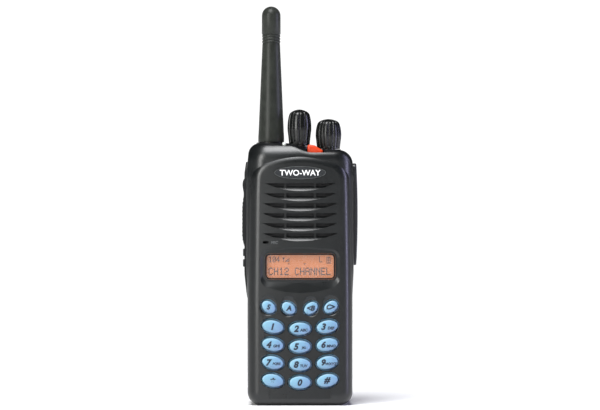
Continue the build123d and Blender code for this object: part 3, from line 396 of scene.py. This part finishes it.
def turned(name, profile, axis, count, shape=None):
    """A turned form about a vertical axis from (radius, height) pairs in mm, whose ends lie on the axis."""
    def ring(radius, height):
        points = []
        for step in range(count):
            angle = 2 * math.pi * step / count
            reach = radius * (shape(angle, radius, height) if shape else 1.0) * MM
            x, y = axis.x + reach * math.cos(angle), axis.y + reach * math.sin(angle)
            points.append((x, y, height * MM))
        return points

    first, *middle, last = profile
    rings = [ring(*point) for point in middle]
    return make_mesh(
        name, *skin((axis.x, axis.y, first[1] * MM), rings, (axis.x, axis.y, last[1] * MM))
    )


def smooth_line(points, steps):
    """Points along a smooth line through the given ones, mirrored about the axis at its last point."""
    start = [2 * a - b for a, b in zip(points[0], points[1])]
    finish = (-points[-2][0], points[-2][1])
    knots = [start, *points, finish]
    line = []
    for a, b, c, d in zip(knots, knots[1:], knots[2:], knots[3:]):
        for step in range(steps):
            t = step / steps
            line.append(
                tuple(
                    0.5 * (2 * q + (r - p) * t + (2 * p - 5 * q + 4 * r - s) * t**2
                           + (3 * q - p - 3 * r + s) * t**3)
                    for p, q, r, s in zip(a, b, c, d)
                )
            )
    return line + [tuple(points[-1])]


def lettering(text, height, slant=0.0, weight=0.0):
    """Flat generic lettering, centred on zero: (points as (x, z) in metres, faces)."""
    curve = bpy.data.curves.new("lettering", "FONT")
    curve.body = text
    curve.shear = slant
    curve.offset = weight
    curve.resolution_u = 4
    holder = bpy.data.objects.new("lettering", curve)
    bpy.context.scene.collection.objects.link(holder)
    bpy.context.view_layer.update()
    graph = bpy.context.evaluated_depsgraph_get()
    mesh = bpy.data.meshes.new_from_object(holder.evaluated_get(graph))
    bpy.data.objects.remove(holder)
    shape = bmesh.new()
    shape.from_mesh(mesh)
    bmesh.ops.triangulate(shape, faces=shape.faces)
    bmesh.ops.subdivide_edges(shape, edges=shape.edges, cuts=2, use_grid_fill=True)
    bmesh.ops.triangulate(shape, faces=shape.faces)
    points = [(vert.co.x, vert.co.y) for vert in shape.verts]
    shape.verts.index_update()
    faces = [[vert.index for vert in face.verts] for face in shape.faces]
    shape.free()
    lows = [min(point[axis] for point in points) for axis in (0, 1)]
    highs = [max(point[axis] for point in points) for axis in (0, 1)]
    scale = height / (highs[1] - lows[1])
    middle = [(low + high) / 2 for low, high in zip(lows, highs)]
    return [((x - middle[0]) * scale, (z - middle[1]) * scale) for x, z in points], faces


def front_sheet(name, groups, depth):
    """A mesh of flat groups (points, faces, shift) seen from the front, laid at depth(x, z)."""
    points, faces = [], []
    for outline, group_faces, shift in groups:
        base = len(points)
        for x, z in outline:
            x, z = x + shift[0], z + shift[1]
            points.append((x, depth(x, z), z))
        faces += [[base + index for index in face] for face in group_faces]
    return make_mesh(name, points, faces)


def band(outer, inner):
    """Points and faces of a flat band between two outlines of equal count."""
    count = len(outer)
    faces = [
        (i, (i + 1) % count, count + (i + 1) % count, count + i) for i in range(count)
    ]
    return [*outer, *inner], faces


def oval(half_w, half_h, count=96):
    """An oval outline in metres from half sizes in mm."""
    return [
        (half_w * MM * math.cos(2 * math.pi * i / count), half_h * MM * math.sin(2 * math.pi * i / count))
        for i in range(count)
    ]


def rounded_box(width, height, radius, steps=8):
    """A rounded rectangle's outline in metres from sizes in mm."""
    outline = []
    for quarter in range(4):
        x = (width / 2 - radius) * (1 if quarter in (0, 3) else -1)
        z = (height / 2 - radius) * (1 if quarter in (0, 1) else -1)
        for step in range(steps + 1):
            angle = (quarter + step / steps) * math.pi / 2
            outline.append(((x + radius * math.cos(angle)) * MM, (z + radius * math.sin(angle)) * MM))
    return outline


# ------------------------------------------------------------------ geometry trees
def new_tree(name, inputs):
    """A Geometry Nodes tree with the given (name, socket type) inputs and one geometry output."""
    tree = bpy.data.node_groups.new(name, "GeometryNodeTree")
    for label, kind in inputs:
        tree.interface.new_socket(label, in_out="INPUT", socket_type=kind)
    tree.interface.new_socket("Geometry", in_out="OUTPUT", socket_type="NodeSocketGeometry")
    return tree, tree.nodes.new("NodeGroupInput"), tree.nodes.new("NodeGroupOutput")


def wire(tree, kind, links, settings=None):
    """Adds a geometry node; links maps an input to a value or to (node, output)."""
    node = tree.nodes.new(kind)
    for name, value in (settings or {}).items():
        setattr(node, name, value)
    for socket, value in links.items():
        if isinstance(value, tuple) and isinstance(value[0], bpy.types.Node):
            tree.links.new(value[0].outputs[value[1]], node.inputs[socket])
        else:
            node.inputs[socket].default_value = value
    return node


def run_tree(name, mesh, tree, values):
    """The plain mesh that a tree makes from a mesh and its input values."""
    holder = bpy.data.objects.new(name, mesh)
    bpy.context.scene.collection.objects.link(holder)
    modifier = holder.modifiers.new("tree", "NODES")
    modifier.node_group = tree
    for item in tree.interface.items_tree:
        if item.in_out == "INPUT" and item.name in values:
            modifier[item.identifier] = values[item.name]
    bpy.context.view_layer.update()
    graph = bpy.context.evaluated_depsgraph_get()
    result = bpy.data.meshes.new_from_object(holder.evaluated_get(graph))
    bpy.data.objects.remove(holder)
    if not result.polygons:
        raise RuntimeError(f"{name}: its tree made no faces")
    return result


def dots_tree():
    """Turns every point of a mesh into a small upright rectangle that faces the front."""
    tree, start, end = new_tree(
        "Display dots",
        [
            ("Points", "NodeSocketGeometry"), ("Dot width", "NodeSocketFloat"),
            ("Dot height", "NodeSocketFloat"), ("Material", "NodeSocketMaterial"),
        ],
    )
    dot = wire(
        tree, "GeometryNodeMeshGrid",
        {"Size X": (start, "Dot width"), "Size Y": (start, "Dot height"), "Vertices X": 2, "Vertices Y": 2},
    )
    upright = wire(
        tree, "GeometryNodeTransform", {"Geometry": (dot, "Mesh"), "Rotation": (math.pi / 2, 0, 0)}
    )
    placed = wire(
        tree, "GeometryNodeInstanceOnPoints",
        {"Points": (start, "Points"), "Instance": (upright, "Geometry")},
    )
    real = wire(tree, "GeometryNodeRealizeInstances", {"Geometry": (placed, "Instances")})
    painted = wire(
        tree, "GeometryNodeSetMaterial",
        {"Geometry": (real, "Geometry"), "Material": (start, "Material")},
    )
    tree.links.new(painted.outputs["Geometry"], end.inputs["Geometry"])
    return tree


def studs_tree():
    """Sets rows of low round studs on the left-hand face of another object."""
    tree, start, end = new_tree(
        "Grip studs",
        [
            ("Points", "NodeSocketGeometry"), ("Surface", "NodeSocketObject"),
            ("Across", "NodeSocketInt"), ("Along", "NodeSocketInt"), ("Width", "NodeSocketFloat"),
            ("Length", "NodeSocketFloat"), ("Centre", "NodeSocketVector"), ("Radius", "NodeSocketFloat"),
            ("Material", "NodeSocketMaterial"),
        ],
    )
    grid = wire(
        tree, "GeometryNodeMeshGrid",
        {
            "Size X": (start, "Length"), "Size Y": (start, "Width"),
            "Vertices X": (start, "Along"), "Vertices Y": (start, "Across"),
        },
    )
    stood = wire(
        tree, "GeometryNodeTransform",
        {
            "Geometry": (grid, "Mesh"), "Rotation": (0, math.pi / 2, 0), "Translation": (start, "Centre"),
        },
    )
    surface = wire(tree, "GeometryNodeObjectInfo", {"Object": (start, "Surface")})
    ray = wire(
        tree, "GeometryNodeRaycast",
        {"Target Geometry": (surface, "Geometry"), "Ray Direction": (1, 0, 0), "Ray Length": 0.05},
    )
    dropped = wire(
        tree, "GeometryNodeSetPosition",
        {"Geometry": (stood, "Geometry"), "Selection": (ray, "Is Hit"), "Position": (ray, "Hit Position")},
    )
    ball = wire(tree, "GeometryNodeMeshIcoSphere", {"Radius": (start, "Radius"), "Subdivisions": 3})
    low = wire(tree, "GeometryNodeTransform", {"Geometry": (ball, "Mesh"), "Scale": (0.55, 1, 1)})
    placed = wire(
        tree, "GeometryNodeInstanceOnPoints",
        {"Points": (dropped, "Geometry"), "Instance": (low, "Geometry")},
    )
    real = wire(tree, "GeometryNodeRealizeInstances", {"Geometry": (placed, "Instances")})
    painted = wire(
        tree, "GeometryNodeSetMaterial",
        {"Geometry": (real, "Geometry"), "Material": (start, "Material")},
    )
    tree.links.new(painted.outputs["Geometry"], end.inputs["Geometry"])
    return tree


# ------------------------------------------------------------------ settings
class RadioSizes(bpy.types.PropertyGroup):
    """Sizes that a user may change."""

    key_rise: FloatProperty(
        name="Key rise", description="Height of a key's dome over its rim", default=0.55 * MM, unit="LENGTH"
    )
    digit_height: FloatProperty(
        name="Digit height", description="Height of the digits on the keys", default=3.55 * MM, unit="LENGTH"
    )
    letter_height: FloatProperty(
        name="Letter height", description="Height of the small letters", default=1.55 * MM, unit="LENGTH"
    )
    selector_grooves: IntProperty(
        name="Selector grooves", description="Grooves round the selector knob", default=12, min=4
    )
    volume_flutes: IntProperty(
        name="Volume flutes", description="Flutes round the volume knob", default=16, min=4
    )
    groove_depth: FloatProperty(
        name="Groove depth", description="Depth of the knobs' grooves", default=0.38 * MM, unit="LENGTH"
    )
    stud_radius: FloatProperty(
        name="Stud radius", description="Radius of the talk bar's studs", default=0.42 * MM, unit="LENGTH"
    )


class RadioColours(bpy.types.PropertyGroup):
    """Colours that a user may change."""

    case: FloatVectorProperty(
        name="Case", description="Colour of the front case", subtype="COLOR", default=(0.0045, 0.0055, 0.0057)
    )
    knob: FloatVectorProperty(
        name="Knobs", description="Colour of both knobs", subtype="COLOR", default=(0.0035, 0.0040, 0.0036)
    )
    antenna: FloatVectorProperty(
        name="Antenna", description="Colour of the antenna's rubber", subtype="COLOR",
        default=(0.0150, 0.0170, 0.0138),
    )
    orange: FloatVectorProperty(
        name="Top key", description="Colour of the key on the top", subtype="COLOR",
        default=(0.56, 0.042, 0.006),
    )
    # The two key colours are painted light and painted shade: the lit upper left and the shaded lower right
    # of every key.
    key_painted_light: FloatVectorProperty(
        name="Key, light", description="Key colour at the upper left", subtype="COLOR",
        default=(0.165, 0.34, 0.45),
    )
    key_painted_shade: FloatVectorProperty(
        name="Key, deep", description="Key colour at the lower right", subtype="COLOR",
        default=(0.13, 0.225, 0.38),
    )
    display: FloatVectorProperty(
        name="Display", description="Colour of the lit display", subtype="COLOR",
        default=(0.38, 0.108, 0.018),
    )


# ------------------------------------------------------------------ operators
class RADIO_OT_finishes(bpy.types.Operator):
    """Gives every part of the radio its finish"""

    bl_idname = "radio.finishes"
    bl_label = "Finishes"

    def execute(self, context):
        make_finishes(context.scene.radio_colours)
        slots = {part["node"]: part["material_slot"] for part in frame["record"]["subparts"]}
        slots["microphone"] = "dark_fabric"  # a felt disc covers its can
        for name, node in frame["nodes"].items():
            node.data.materials.clear()
            node.data.materials.append(FINISHES[slots[name]])
        return {"FINISHED"}


class RADIO_OT_antenna(bpy.types.Operator):
    """Makes the antenna's rubber sleeve: a long taper, three fine rings and a round head"""

    bl_idname = "radio.antenna"
    bl_label = "Antenna"

    def execute(self, context):
        low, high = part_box("antenna_sheath")
        axis = (low + high) / 2
        head = [
            (4.9 * math.sin(math.radians(a)), 203.1 + 4.9 * math.cos(math.radians(a)))
            for a in range(0, 91, 6)
        ]
        rings = []
        for height in (192.4, 190.9, 189.4):
            rings += [
                (4.50, height + 0.62), (4.72, height + 0.42), (4.80, height + 0.22),
                (4.80, height - 0.22), (4.72, height - 0.42), (4.50, height - 0.62),
            ]
        taper = [(4.65 + 1.95 * t / 12, 188.2 - 45.2 * t / 12) for t in range(13)]
        foot = [(6.78, 140.0), (6.85, 137.35), (6.74, 136.85), (6.5, low.z / MM)]
        bore = [(5.2, low.z / MM), (5.2, 141.5), (2.7, 141.5), (2.7, 200.5), (0, 200.5)]
        profile = [*head, (4.95, 193.6), (4.6, 193.1), *rings, *taper, *foot, *bore]
        mesh = turned("antenna_sleeve", profile, axis, 96)
        add_piece(mesh, "antenna_sleeve", "antenna", "antenna_rubber", ("antenna_sheath",))
        return {"FINISHED"}


class RADIO_OT_knobs(bpy.types.Operator):
    """Makes the two control knobs: turned barrels with narrow grooves between smooth facets"""

    bl_idname = "radio.knobs"
    bl_label = "Knobs"

    def execute(self, context):
        sizes = context.scene.radio_sizes
        selector = [(5.4, 0), (5.95, 5), (6.35, 9.2), (5.95, 14), (4.6, 17.4), (0, 19.0)]
        volume = [(6.0, 0), (6.45, 3.6), (6.8, 7.4), (6.3, 11.6), (4.8, 14.4), (0, 15.7)]
        self.knob("selector", selector, sizes.selector_grooves, 0.048, sizes.groove_depth / MM)
        self.knob("volume", volume, sizes.volume_flutes, 0.055, sizes.groove_depth / MM)
        return {"FINISHED"}

    def knob(self, name, points, grooves, width, depth):
        low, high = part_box(name + "_knob")
        axis = (low + high) / 2
        base, tall = low.z / MM, points[-1][1]

        def grooved(angle, radius, height):
            if radius <= 4.05 and height - base < tall - 2.5:
                return 1.0
            share = (height - base) / tall
            fade = min(1.0, max(0.0, (share - 0.02) / 0.08)) * min(1.0, max(0.0, (0.985 - share) / 0.10))
            turn = angle * grooves / (2 * math.pi)
            off = abs(turn - round(turn)) * 2 * math.pi / grooves
            groove = math.exp(-((off / width) ** 2))
            facet = 0.004 * (1 + math.cos(2 * math.pi * turn))
            return 1 - fade * (depth / radius * groove + facet)

        outside = [(radius, base + height) for radius, height in reversed(smooth_line(points, 9))]
        bore = [
            (4.0, base), (4.0, base + 1.4), (3.0, base + 1.4), (3.0, base + tall - 3), (0, base + tall - 3),
        ]
        mesh = turned(name + "_cap", [*outside, *bore], axis, grooves * 24, grooved)
        add_piece(mesh, name + "_cap", name, "knob_plastic", (name + "_knob",), sharp=50)


class RADIO_OT_keys(bpy.types.Operator):
    """Makes the domed keys and lays their legends on them"""

    bl_idname = "radio.keys"
    bl_label = "Keys"

    def execute(self, context):
        sizes = context.scene.radio_sizes
        for name, half_w, half_h, tilt, main, small in KEYS:
            self.key(name, half_w, half_h, math.radians(tilt), main, small, sizes)
        return {"FINISHED"}

    def key(self, name, half_w, half_h, tilt, main, small, sizes):
        low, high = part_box(name)
        centre = (low + high) / 2
        crown, back = low.y / MM, high.y / MM
        rise = sizes.key_rise / MM
        lean = (math.cos(tilt), math.sin(tilt))
        count = 72

        def drop(u):
            """How far the dome has fallen at a share u of the way out."""
            return rise * (1 - math.sqrt(1 - 0.93 * u * u)) / (1 - math.sqrt(0.07))

        def ring(wide, tall, y):
            points = []
            for step in range(count):
                a = 2 * math.pi * step / count
                x, z = wide * math.cos(a), tall * math.sin(a)
                points.append(
                    (
                        centre.x + (x * lean[0] - z * lean[1]) * MM,
                        y * MM,
                        centre.z + (x * lean[1] + z * lean[0]) * MM,
                    )
                )
            return points

        shares = (0.12, 0.25, 0.38, 0.5, 0.62, 0.73, 0.82, 0.89, 0.94, 0.975, 1.0)
        rings = [ring(half_w * u, half_h * u, crown + drop(u)) for u in shares]
        flange_front, flange_back, plunger = -15.8, -15.3, 1.2
        rings += [ring(half_w, half_h, y) for y in (crown + rise + 0.4, flange_front)]
        rings += [ring(half_w + 1.3, half_h + 1.35, y) for y in (flange_front, flange_back)]
        rings += [ring(plunger, plunger, y) for y in (flange_back, back)]
        mesh = make_mesh(
            name + "_cap", *skin((centre.x, crown * MM, centre.z), rings, (centre.x, back * MM, centre.z))
        )
        piece = add_piece(mesh, name + "_cap", name, "key_rubber", (name,))
        # Painted light and shade: each point's share from the key's lower right to its upper left, which
        # picks between the shaded and the lit key colour.
        across = piece.data.attributes.new("across", "FLOAT", "POINT")
        reach = (half_w + half_h) * MM
        values = [
            0.5 + 0.6 * (vert.co.z - centre.z - vert.co.x + centre.x) / reach for vert in piece.data.vertices
        ]
        across.data.foreach_set("value", values)

        def on_dome(x, z):
            dx, dz = (x - centre.x) / MM, (z - centre.z) / MM
            u = math.hypot(
                (dx * lean[0] + dz * lean[1]) / half_w, (dz * lean[0] - dx * lean[1]) / half_h
            )
            return (crown + drop(min(u, 0.99)) - 0.045) * MM

        function_key = half_w < 5
        height = sizes.digit_height * (0.78 if function_key else 1.0)
        height *= 0.85 if main == "*" else 1.0
        shift = -1.9 * MM if small else 0.0
        groups = [(*lettering(main, height, 0.25, 0.05), (centre.x + shift, centre.z))]
        if small:
            letters = lettering(small, sizes.letter_height, 0.15, 0.045)
            groups.append((*letters, (centre.x + 2.0 * MM, centre.z - 0.7 * MM)))
        sheet = front_sheet(name + "_legend", groups, on_dome)
        add_piece(sheet, name + "_legend", name, "legend_ink", closed=False, sharp=80)


class RADIO_OT_display(bpy.types.Operator):
    """Makes the display's dark frame, its lines of dots and its symbols"""

    bl_idname = "radio.display"
    bl_label = "Display"

    def execute(self, context):
        window_low, window_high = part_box("display_window")
        panel_low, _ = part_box("display_panel")
        middle = ((window_low.x + window_high.x) / 2, (window_low.z + window_high.z) / 2)
        face = window_low.y - 0.01 * MM
        frame_band = band(rounded_box(36.2, 13.4, 2.1), rounded_box(34.7, 11.9, 1.6))
        mesh = front_sheet("display_frame", [(*frame_band, middle)], lambda x, z: face)
        add_piece(mesh, "display_frame", "housing", "dark_plastic", closed=False)

        tree = dots_tree()
        depth = panel_low.y - 0.012 * MM
        big_pitch, big_dot = (0.452, 0.56), (0.53, 0.64)
        small_pitch, small_dot = (0.33, 0.43), (0.38, 0.48)
        left, top, low_top = -16.1, 4.9, -0.9
        big = self.dots("CH12 CHANNEL", (left, low_top), big_pitch)
        small = self.dots("104", (left, top), small_pitch) + self.dots("L", (10.0, top), small_pitch)
        lines = (("display_line", big, big_dot), ("display_digits", small, small_dot))
        for name, spots, size in lines:
            points = [(middle[0] + x * MM, depth, middle[1] + z * MM) for x, z in spots]
            values = {
                "Dot width": size[0] * MM, "Dot height": size[1] * MM, "Material": FINISHES["display_ink"],
            }
            dots = run_tree(name, make_mesh(name, points, []), tree, values)
            dots.name = name
            add_piece(dots, name, "housing", "display_ink", closed=False)
        self.symbols(middle, depth)
        return {"FINISHED"}

    def dots(self, text, corner, pitch, cell=6):
        """Dot centres of a line of text whose first dot is given, in mm; cell is a letter's width in dots."""
        spots = []
        for place, letter in enumerate(text):
            for row, bits in enumerate(GLYPHS[letter].split()):
                for column, bit in enumerate(bits):
                    if bit == "1":
                        x = corner[0] + (place * cell + column) * pitch[0]
                        spots.append((x, corner[1] - row * pitch[1]))
        return spots

    def symbols(self, middle, depth):
        """Signal bars, two arrow heads and a battery outline along the top line."""
        def box(x, z, width, height):
            corners = [(x, z), (x + width, z), (x + width, z + height), (x, z + height)]
            return [(a * MM, b * MM) for a, b in corners], [(0, 1, 2, 3)], middle

        groups = [box(-7.9 + 0.62 * step, 2.3, 0.42, 0.55 + 0.5 * step) for step in range(4)]
        for corners in (
            [(-9.4, 4.6), (-8.6, 3.4), (-7.8, 4.6)], [(-6.6, 1.55), (-5.9, 0.85), (-5.2, 1.55)],
            [(1.6, 1.55), (2.3, 0.85), (3.0, 1.55)],
        ):
            groups.append(([(a * MM, b * MM) for a, b in corners], [(0, 1, 2)], middle))
        groups += [box(-8.75, 2.3, 0.3, 1.4)]
        groups += [
            box(13.6, 1.3, 2.2, 0.3), box(13.6, 4.4, 2.2, 0.3), box(13.6, 1.3, 0.3, 3.4),
            box(15.5, 1.3, 0.3, 3.4), box(14.2, 4.7, 1.0, 0.35), box(14.15, 1.9, 1.1, 0.55),
            box(14.15, 2.75, 1.1, 0.55), box(14.15, 3.55, 1.1, 0.55),
        ]
        mesh = front_sheet("display_symbols", groups, lambda x, z: depth)
        add_piece(mesh, "display_symbols", "housing", "display_ink", closed=False)


class RADIO_OT_badge(bpy.types.Operator):
    """Makes the badge's rim and its plain word, and the label by the microphone hole"""

    bl_idname = "radio.badge"
    bl_label = "Badge"

    def execute(self, context):
        low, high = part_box("badge_plate")
        middle = ((low.x + high.x) / 2, (low.z + high.z) / 2)
        rim = [(*band(oval(13.3, 3.3), oval(13.08, 3.1)), middle)]
        face = low.y - 0.02 * MM
        mesh = front_sheet("badge_rim", rim, lambda x, z: face)
        add_piece(mesh, "badge_rim", "housing", "pale_rim", closed=False)
        word, faces = lettering("TWO-WAY", 3.0 * MM, 0.0, 0.015)
        mesh = front_sheet("badge_word", [(word, faces, middle)], lambda x, z: face - 0.03 * MM)
        add_piece(mesh, "badge_word", "housing", "white_ink", closed=False)
        case_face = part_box("front_case")[0].y - 0.01 * MM
        label = [(*lettering("MIC", 1.5 * MM, 0.15, 0.02), (-13.2 * MM, 84.5 * MM))]
        mesh = front_sheet("microphone_label", label, lambda x, z: case_face)
        add_piece(mesh, "microphone_label", "housing", "grey_ink", closed=False)
        return {"FINISHED"}


class RADIO_OT_grip(bpy.types.Operator):
    """Sets the rows of studs on the talk bar"""

    bl_idname = "radio.grip"
    bl_label = "Talk bar studs"

    def execute(self, context):
        low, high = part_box("ptt_bar")
        centre = (low + high) / 2
        values = {
            "Surface": frame["nodes"]["ptt_bar"], "Across": 4, "Along": 11, "Width": 4.6 * MM,
            "Length": 21.0 * MM, "Centre": (low.x - 10 * MM, centre.y, low.z + 14.5 * MM),
            "Radius": context.scene.radio_sizes.stud_radius, "Material": FINISHES["rubber_black"],
        }
        studs = run_tree("talk_bar_studs", make_mesh("talk_bar_studs", [], []), studs_tree(), values)
        studs.name = "talk_bar_studs"
        add_piece(studs, "talk_bar_studs", "ptt_bar", "rubber_black")
        return {"FINISHED"}


class RADIO_OT_label(bpy.types.Operator):
    """Lays a plain rating label in the field on the back of the battery"""

    bl_idname = "radio.label"
    bl_label = "Battery label"

    def execute(self, context):
        _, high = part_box("battery_case")
        depth = high.y - 0.32 * MM
        middle = (0.0, 58 * MM)
        film = rounded_box(35.2, 47.2, 2.2)
        faces = [tuple(reversed(range(len(film))))]  # turned round, to face the back
        mesh = front_sheet("battery_label", [(film, faces, middle)], lambda x, z: depth)
        add_piece(mesh, "battery_label", "battery", "label_film", closed=False)
        groups = []
        lines = (("BATTERY PACK", 2.6, 14.0), ("Li-ion  7.4 V", 2.2, 8.0), ("+        -", 2.2, -16.0))
        for text, height, z in lines:
            points, letters = lettering(text, height * MM, 0, 0.01)
            points = [(-x, y) for x, y in points]  # reads correctly from behind
            groups.append((points, letters, (middle[0], middle[1] + z * MM)))
        mesh = front_sheet("battery_label_text", groups, lambda x, z: depth + 0.02 * MM)
        add_piece(mesh, "battery_label_text", "battery", "dark_plastic", closed=False)
        return {"FINISHED"}


class RADIO_OT_stage(bpy.types.Operator):
    """Sets the pale floor, the soft lights and the camera"""

    bl_idname = "radio.stage"
    bl_label = "Stage"

    def execute(self, context):
        self.floor()
        self.studio(context.scene)
        self.lamp("key light", (-0.68, -0.92, 0.40), (0.34, 0.70), 8.6, (1.0, 1.0, 0.98))
        self.lamp("fill light", (-0.30, -0.80, 0.95), (0.7, 0.3), 2.5, (0.92, 0.96, 1.0))
        self.lamp("rim light", (0.60, -0.12, 0.16), (0.10, 0.55), 2.0, (0.66, 0.64, 1.0))
        ceiling = bpy.data.lights.new("ceiling", "SUN")
        ceiling.energy = 4.3
        ceiling.angle = math.radians(35)
        ceiling.color = (0.985, 0.99, 1.0)
        overhead = bpy.data.objects.new("ceiling", ceiling)
        overhead.rotation_euler = Vector((0.12, 0.42, -0.95)).to_track_quat("-Z", "Y").to_euler()
        context.scene.collection.objects.link(overhead)
        camera = bpy.data.cameras.new("camera")
        camera.sensor_width = 36.0
        camera.clip_start = 0.01
        distance, view_width = 1.5, 310.2 * MM
        camera.lens = 36.0 * distance / view_width
        viewer = bpy.data.objects.new("camera", camera)
        viewer.location = (0.0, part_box("front_case")[0].y - distance, 103.9 * MM)
        viewer.rotation_euler = (math.pi / 2, 0, 0)
        context.scene.collection.objects.link(viewer)
        context.scene.camera = viewer
        context.scene.view_settings.view_transform = "Standard"
        return {"FINISHED"}

    def floor(self):
        """A wide flat floor."""
        reach = 9.0
        corners = [(-reach, -reach, 0), (reach, -reach, 0), (reach, reach, 0), (-reach, reach, 0)]
        mesh = make_mesh("floor", corners, [(0, 1, 2, 3)])
        finish = Finish("pale floor", Roughness=0.7)
        finish.feed("Base Color", finish.mix(finish.noise(60.0), (0.86, 0.86, 0.86, 1), (0.9, 0.9, 0.9, 1)))
        mesh.materials.append(finish.material)
        floor = bpy.data.objects.new("floor", mesh)
        bpy.context.scene.collection.objects.link(floor)

    def studio(self, scene):
        """A dim room with a white screen behind the radio."""
        world = bpy.data.worlds.new("studio")
        world.use_nodes = True
        nodes, links = world.node_tree.nodes, world.node_tree.links
        direction = nodes.new("ShaderNodeTexCoord")
        axes = nodes.new("ShaderNodeSeparateXYZ")
        screen = nodes.new("ShaderNodeMapRange")
        for socket, value in (("From Min", 0.88), ("From Max", 0.97), ("To Min", 0.03), ("To Max", 1.1)):
            screen.inputs[socket].default_value = value
        background = nodes["Background"]
        background.inputs["Color"].default_value = (1.0, 1.0, 1.0, 1)
        links.new(direction.outputs["Generated"], axes.inputs["Vector"])
        links.new(axes.outputs["Y"], screen.inputs["Value"])
        links.new(screen.outputs["Result"], background.inputs["Strength"])
        scene.world = world

    def lamp(self, name, place, size, power, colour):
        """A rectangular soft light aimed at the middle of the radio."""
        light = bpy.data.lights.new(name, "AREA")
        light.shape = "RECTANGLE"
        light.size, light.size_y = size
        light.energy = power
        light.color = colour
        lamp = bpy.data.objects.new(name, light)
        lamp.location = place
        aim = Vector((0.0, 0.0, 0.09)) - Vector(place)
        lamp.rotation_euler = aim.to_track_quat("-Z", "Y").to_euler()
        bpy.context.scene.collection.objects.link(lamp)


OPERATORS = (
    RADIO_OT_finishes,
    RADIO_OT_antenna,
    RADIO_OT_knobs,
    RADIO_OT_keys,
    RADIO_OT_display,
    RADIO_OT_badge,
    RADIO_OT_grip,
    RADIO_OT_label,
    RADIO_OT_stage,
)


class RADIO_PT_panel(bpy.types.Panel):
    """Lists the radio's pieces, sizes and colours"""

    bl_idname = "RADIO_PT_panel"
    bl_label = "Two-way radio"
    bl_space_type = "VIEW_3D"
    bl_region_type = "UI"
    bl_category = "Radio"

    def draw(self, context):
        for group in (context.scene.radio_sizes, context.scene.radio_colours):
            box = self.layout.box()
            for name in group.bl_rna.properties.keys():
                if name not in ("rna_type", "name"):
                    box.prop(group, name)
        for operator in OPERATORS:
            self.layout.operator(operator.bl_idname)


CLASSES = (RadioSizes, RadioColours, *OPERATORS, RADIO_PT_panel)


def register():
    for item in CLASSES:
        bpy.utils.register_class(item)
    bpy.types.Scene.radio_sizes = PointerProperty(type=RadioSizes)
    bpy.types.Scene.radio_colours = PointerProperty(type=RadioColours)


def unregister():
    del bpy.types.Scene.radio_colours
    del bpy.types.Scene.radio_sizes
    for item in reversed(CLASSES):
        bpy.utils.unregister_class(item)


def main():
    register()
    for operator in OPERATORS:
        group, name = operator.bl_idname.split(".")
        getattr(getattr(bpy.ops, group), name)()
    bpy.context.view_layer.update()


if __name__ == "__main__":
    main()
